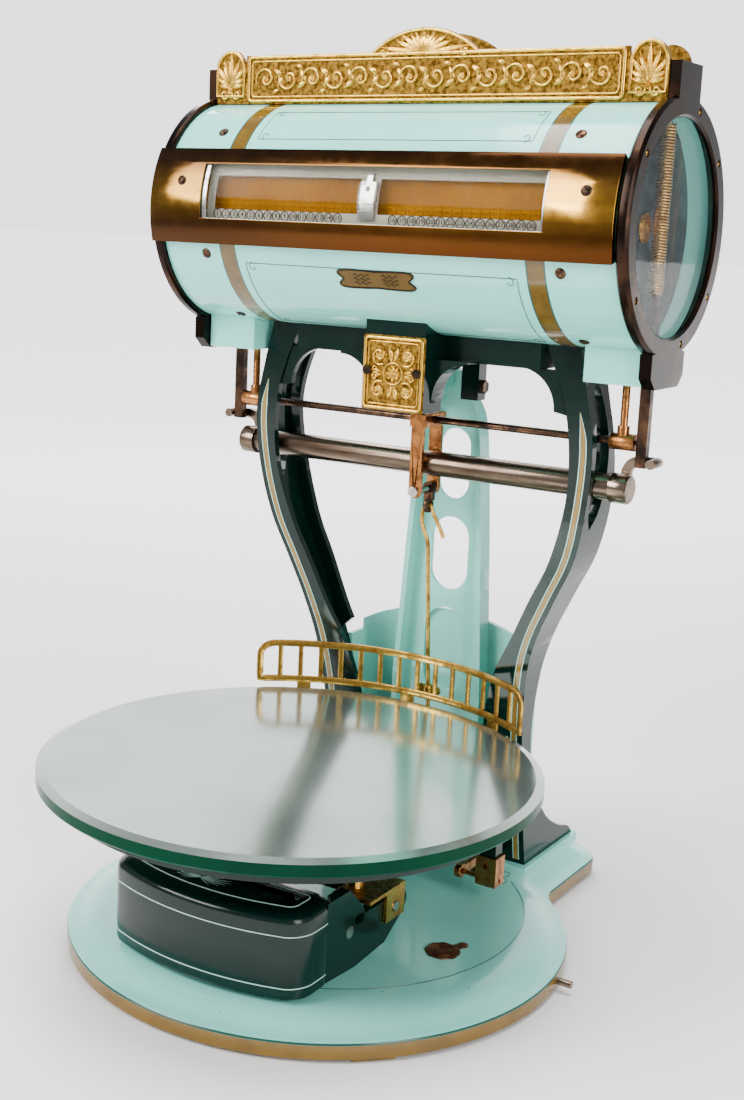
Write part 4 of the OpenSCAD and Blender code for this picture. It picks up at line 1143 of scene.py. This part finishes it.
def make_counterweight():
    low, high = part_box("counterweight")
    bm = bmesh.new()
    # Inset and height, from the bottom edge to the lid
    profile = [(3.0, 0.0), (0.8, 0.8), (0.0, 3.0), (0.0, 60.0), (0.9, 63.2), (3.4, 65.6), (7.0, 66.6),
               (12.0, 67.3), (30.0, 68.3)]
    loft(bm, [counterweight_ring(inset * MM, low.z + z * MM, low, high) for inset, z in profile])
    piece("counterweight_box", bm, "lever", deep_enamel, ["counterweight"], angle=40)
    lines = bmesh.new()
    for inset, z, radius in ((0.25, low.z + 50.5 * MM, 0.55), (0.25, low.z + 9.5 * MM, 0.55),
                             (15, high.z - 0.75 * MM, 0.4)):
        tube(lines, counterweight_ring(inset * MM, z, low, high), radius * MM, closed=True, sides=6)
    # Painted flourish on the lid
    centre = Vector((-12 * MM, (low.y + high.y) / 2 - 6 * MM, high.z - 0.08 * MM))
    shares = [i / 13 for i in range(14)]
    for k in range(7):
        a = radians(-60 + 20 * k)
        for s in (-1, 1):
            reach_x, reach_y = s * 26 * MM * cos(a), 12 * MM * sin(a)
            stroke = [centre + Vector((reach_x * t, reach_y * t + 3.5 * MM * t * t, 0)) for t in shares]
            tube(lines, stroke, 0.4 * MM, sides=5, taper=[1 - 0.8 * t for t in shares])
    piece("counterweight_lines", lines, "lever", pale_line)


# ---------------------------------------------------------------- assembly

# Material, edge softening and its segments, and the CAD nodes that have them
for finish in (
        (pale_enamel, 0.0009, 2, "rear_column", "rear_web", "barrel_feet"),
        (barrel_enamel, 0, 0, "barrel_shell"),
        (deep_enamel, 0.0012, 3, "pillar_left", "pillar_right", "cross_beam", "fulcrum_stands", "tube_saddles",
         "lever"),
        (deep_enamel, 0, 0, "platter_spider"),
        (band_brass, 0.0007, 3, "window_band"),
        (pane_glass, 0, 0, "window_glass"),
        (end_glass, 0, 0, "end_glass_left", "end_glass_right"),
        (ring_bronze, 0.0009, 3, "end_ring_left", "end_ring_right"),
        (dull_zinc, 0.0004, 2, "bulkhead_left", "bulkhead_right"),
        (dull_zinc, 0.0003, 2, "drum_spiders"),
        (worn_nickel, 0.0005, 2, "check_stands", "lock_pin"),
        (worn_nickel, 0.0006, 2, "tie_tube"),
        (worn_nickel, 0.0008, 3, "guide_finger_left", "guide_finger_right"),
        (copper_bronze, 0.0006, 2, "rack_rod_left", "rack_rod_right", "check_links"),
        (copper_bronze, 0.0010, 3, "yoke"),
        (copper_bronze, 0.0008, 2, "leg_blocks"),
        (copper_bronze, 0.0003, 2, "leg_pins"),
        (oxidised, 0.0005, 2, "spring_rod_left", "spring_rod_right"),
        (oxidised, 0.0006, 2, "marquee_board", "yoke_link"),
        (oxidised, 0.0004, 2, "frame_bolts", "cross_rod"),
        (old_brass, 0.0003, 2, "bearing_bushes"),
        (old_brass, 0, 0, "racks", "pinions"),
        (old_brass, 0.0006, 2, "load_brackets"),
        (bright_steel, 0.0003, 2, "spring_anchors", "drum_shaft"),
        (bright_steel, 0.0005, 2, "yoke_pin", "lever_pins"),
        (chart_paper, 0, 0, "chart_drum"),
        (platter_glass, 0, 0, "platter")):
    dress(*finish)
make_base()
make_base_lines()
make_escutcheon()
for pillar_side in (-1, 1):
    pillar_stripe(pillar_side)
make_ornament_plate()
make_marquee("marquee_front", -1)
make_marquee("marquee_rear", 1)
make_window()
make_numerals()
make_pinstripes()
make_label()
make_screws()
make_springs()
make_guard_rail()
make_hook_rod()
make_counterweight()

# ---------------------------------------------------------------- studio


def make_studio():
    """A white paper floor in a dim room, with a bright backdrop behind the scale."""
    floor = bmesh.new()
    size, below = 30.0, 0.4 * MM
    outline = [(-size, -size), (size, -size), (size, size), (-size, size)]
    floor.faces.new([floor.verts.new((x, y, -below)) for x, y in outline])
    mesh = bpy.data.meshes.new("floor")
    floor.to_mesh(mesh)
    floor.free()
    mesh.materials.append(paper_material())
    obj = bpy.data.objects.new("floor", mesh)
    bpy.context.scene.collection.objects.link(obj)
    world = bpy.data.worlds.new("studio")
    bpy.context.scene.world = world
    world.use_nodes = True
    tree = world.node_tree
    toward = toward_backdrop(tree, add(tree, "ShaderNodeTexCoord", out="Generated"))
    feed(tree, tree.nodes["Background"], Color=(1.0, 1.0, 1.0),
         Strength=steps(tree, toward, 0.55, 0.90, ROOM_LIGHT, BACKDROP_LIGHT))


def area_light(name, position, aim_height, size, power):
    light = bpy.data.lights.new(name, "AREA")
    light.shape = "RECTANGLE"
    light.size, light.size_y = size
    light.energy = power
    obj = bpy.data.objects.new(name, light)
    bpy.context.scene.collection.objects.link(obj)
    obj.location = position
    obj.rotation_euler = (Vector((0, 0, aim_height)) - Vector(position)).to_track_quat("-Z", "Y").to_euler()


def make_camera():
    """The camera stands to the right of the front and a little above the barrel, with a slight roll."""
    azimuth, elevation, roll = radians(33.03), radians(11.19), radians(2.33)
    place = Vector((0.6625, -1.0737, 0.5970))
    level = cos(elevation)
    back = Vector((sin(azimuth) * level, -cos(azimuth) * level, sin(elevation)))
    right = Vector((cos(azimuth), sin(azimuth), 0))
    up = right.cross(-back)
    rolled_right = right * cos(roll) + up * sin(roll)
    rolled_up = up * cos(roll) - right * sin(roll)
    data = bpy.data.cameras.new("camera")
    data.sensor_width = 36.0
    data.lens = 50.81
    data.shift_x, data.shift_y = 0.0472, -0.0216
    data.clip_end = 50
    camera = bpy.data.objects.new("camera", data)
    bpy.context.scene.collection.objects.link(camera)
    rotation = Matrix((rolled_right, rolled_up, back)).transposed()
    camera.matrix_world = Matrix.Translation(place) @ rotation.to_4x4()
    bpy.context.scene.camera = camera


make_studio()
area_light("key", (-1.4, -1.9, 1.7), 0.4, (1.3, 1.3), 95)
area_light("fill", (2.2, -1.0, 1.1), 0.4, (0.9, 1.6), 46)
area_light("top", (0.0, -0.1, 2.4), 0.3, (1.6, 1.2), 75)
area_light("rim", (-1.3, 1.7, 2.1), 0.5, (1.2, 1.0), 30)
make_camera()
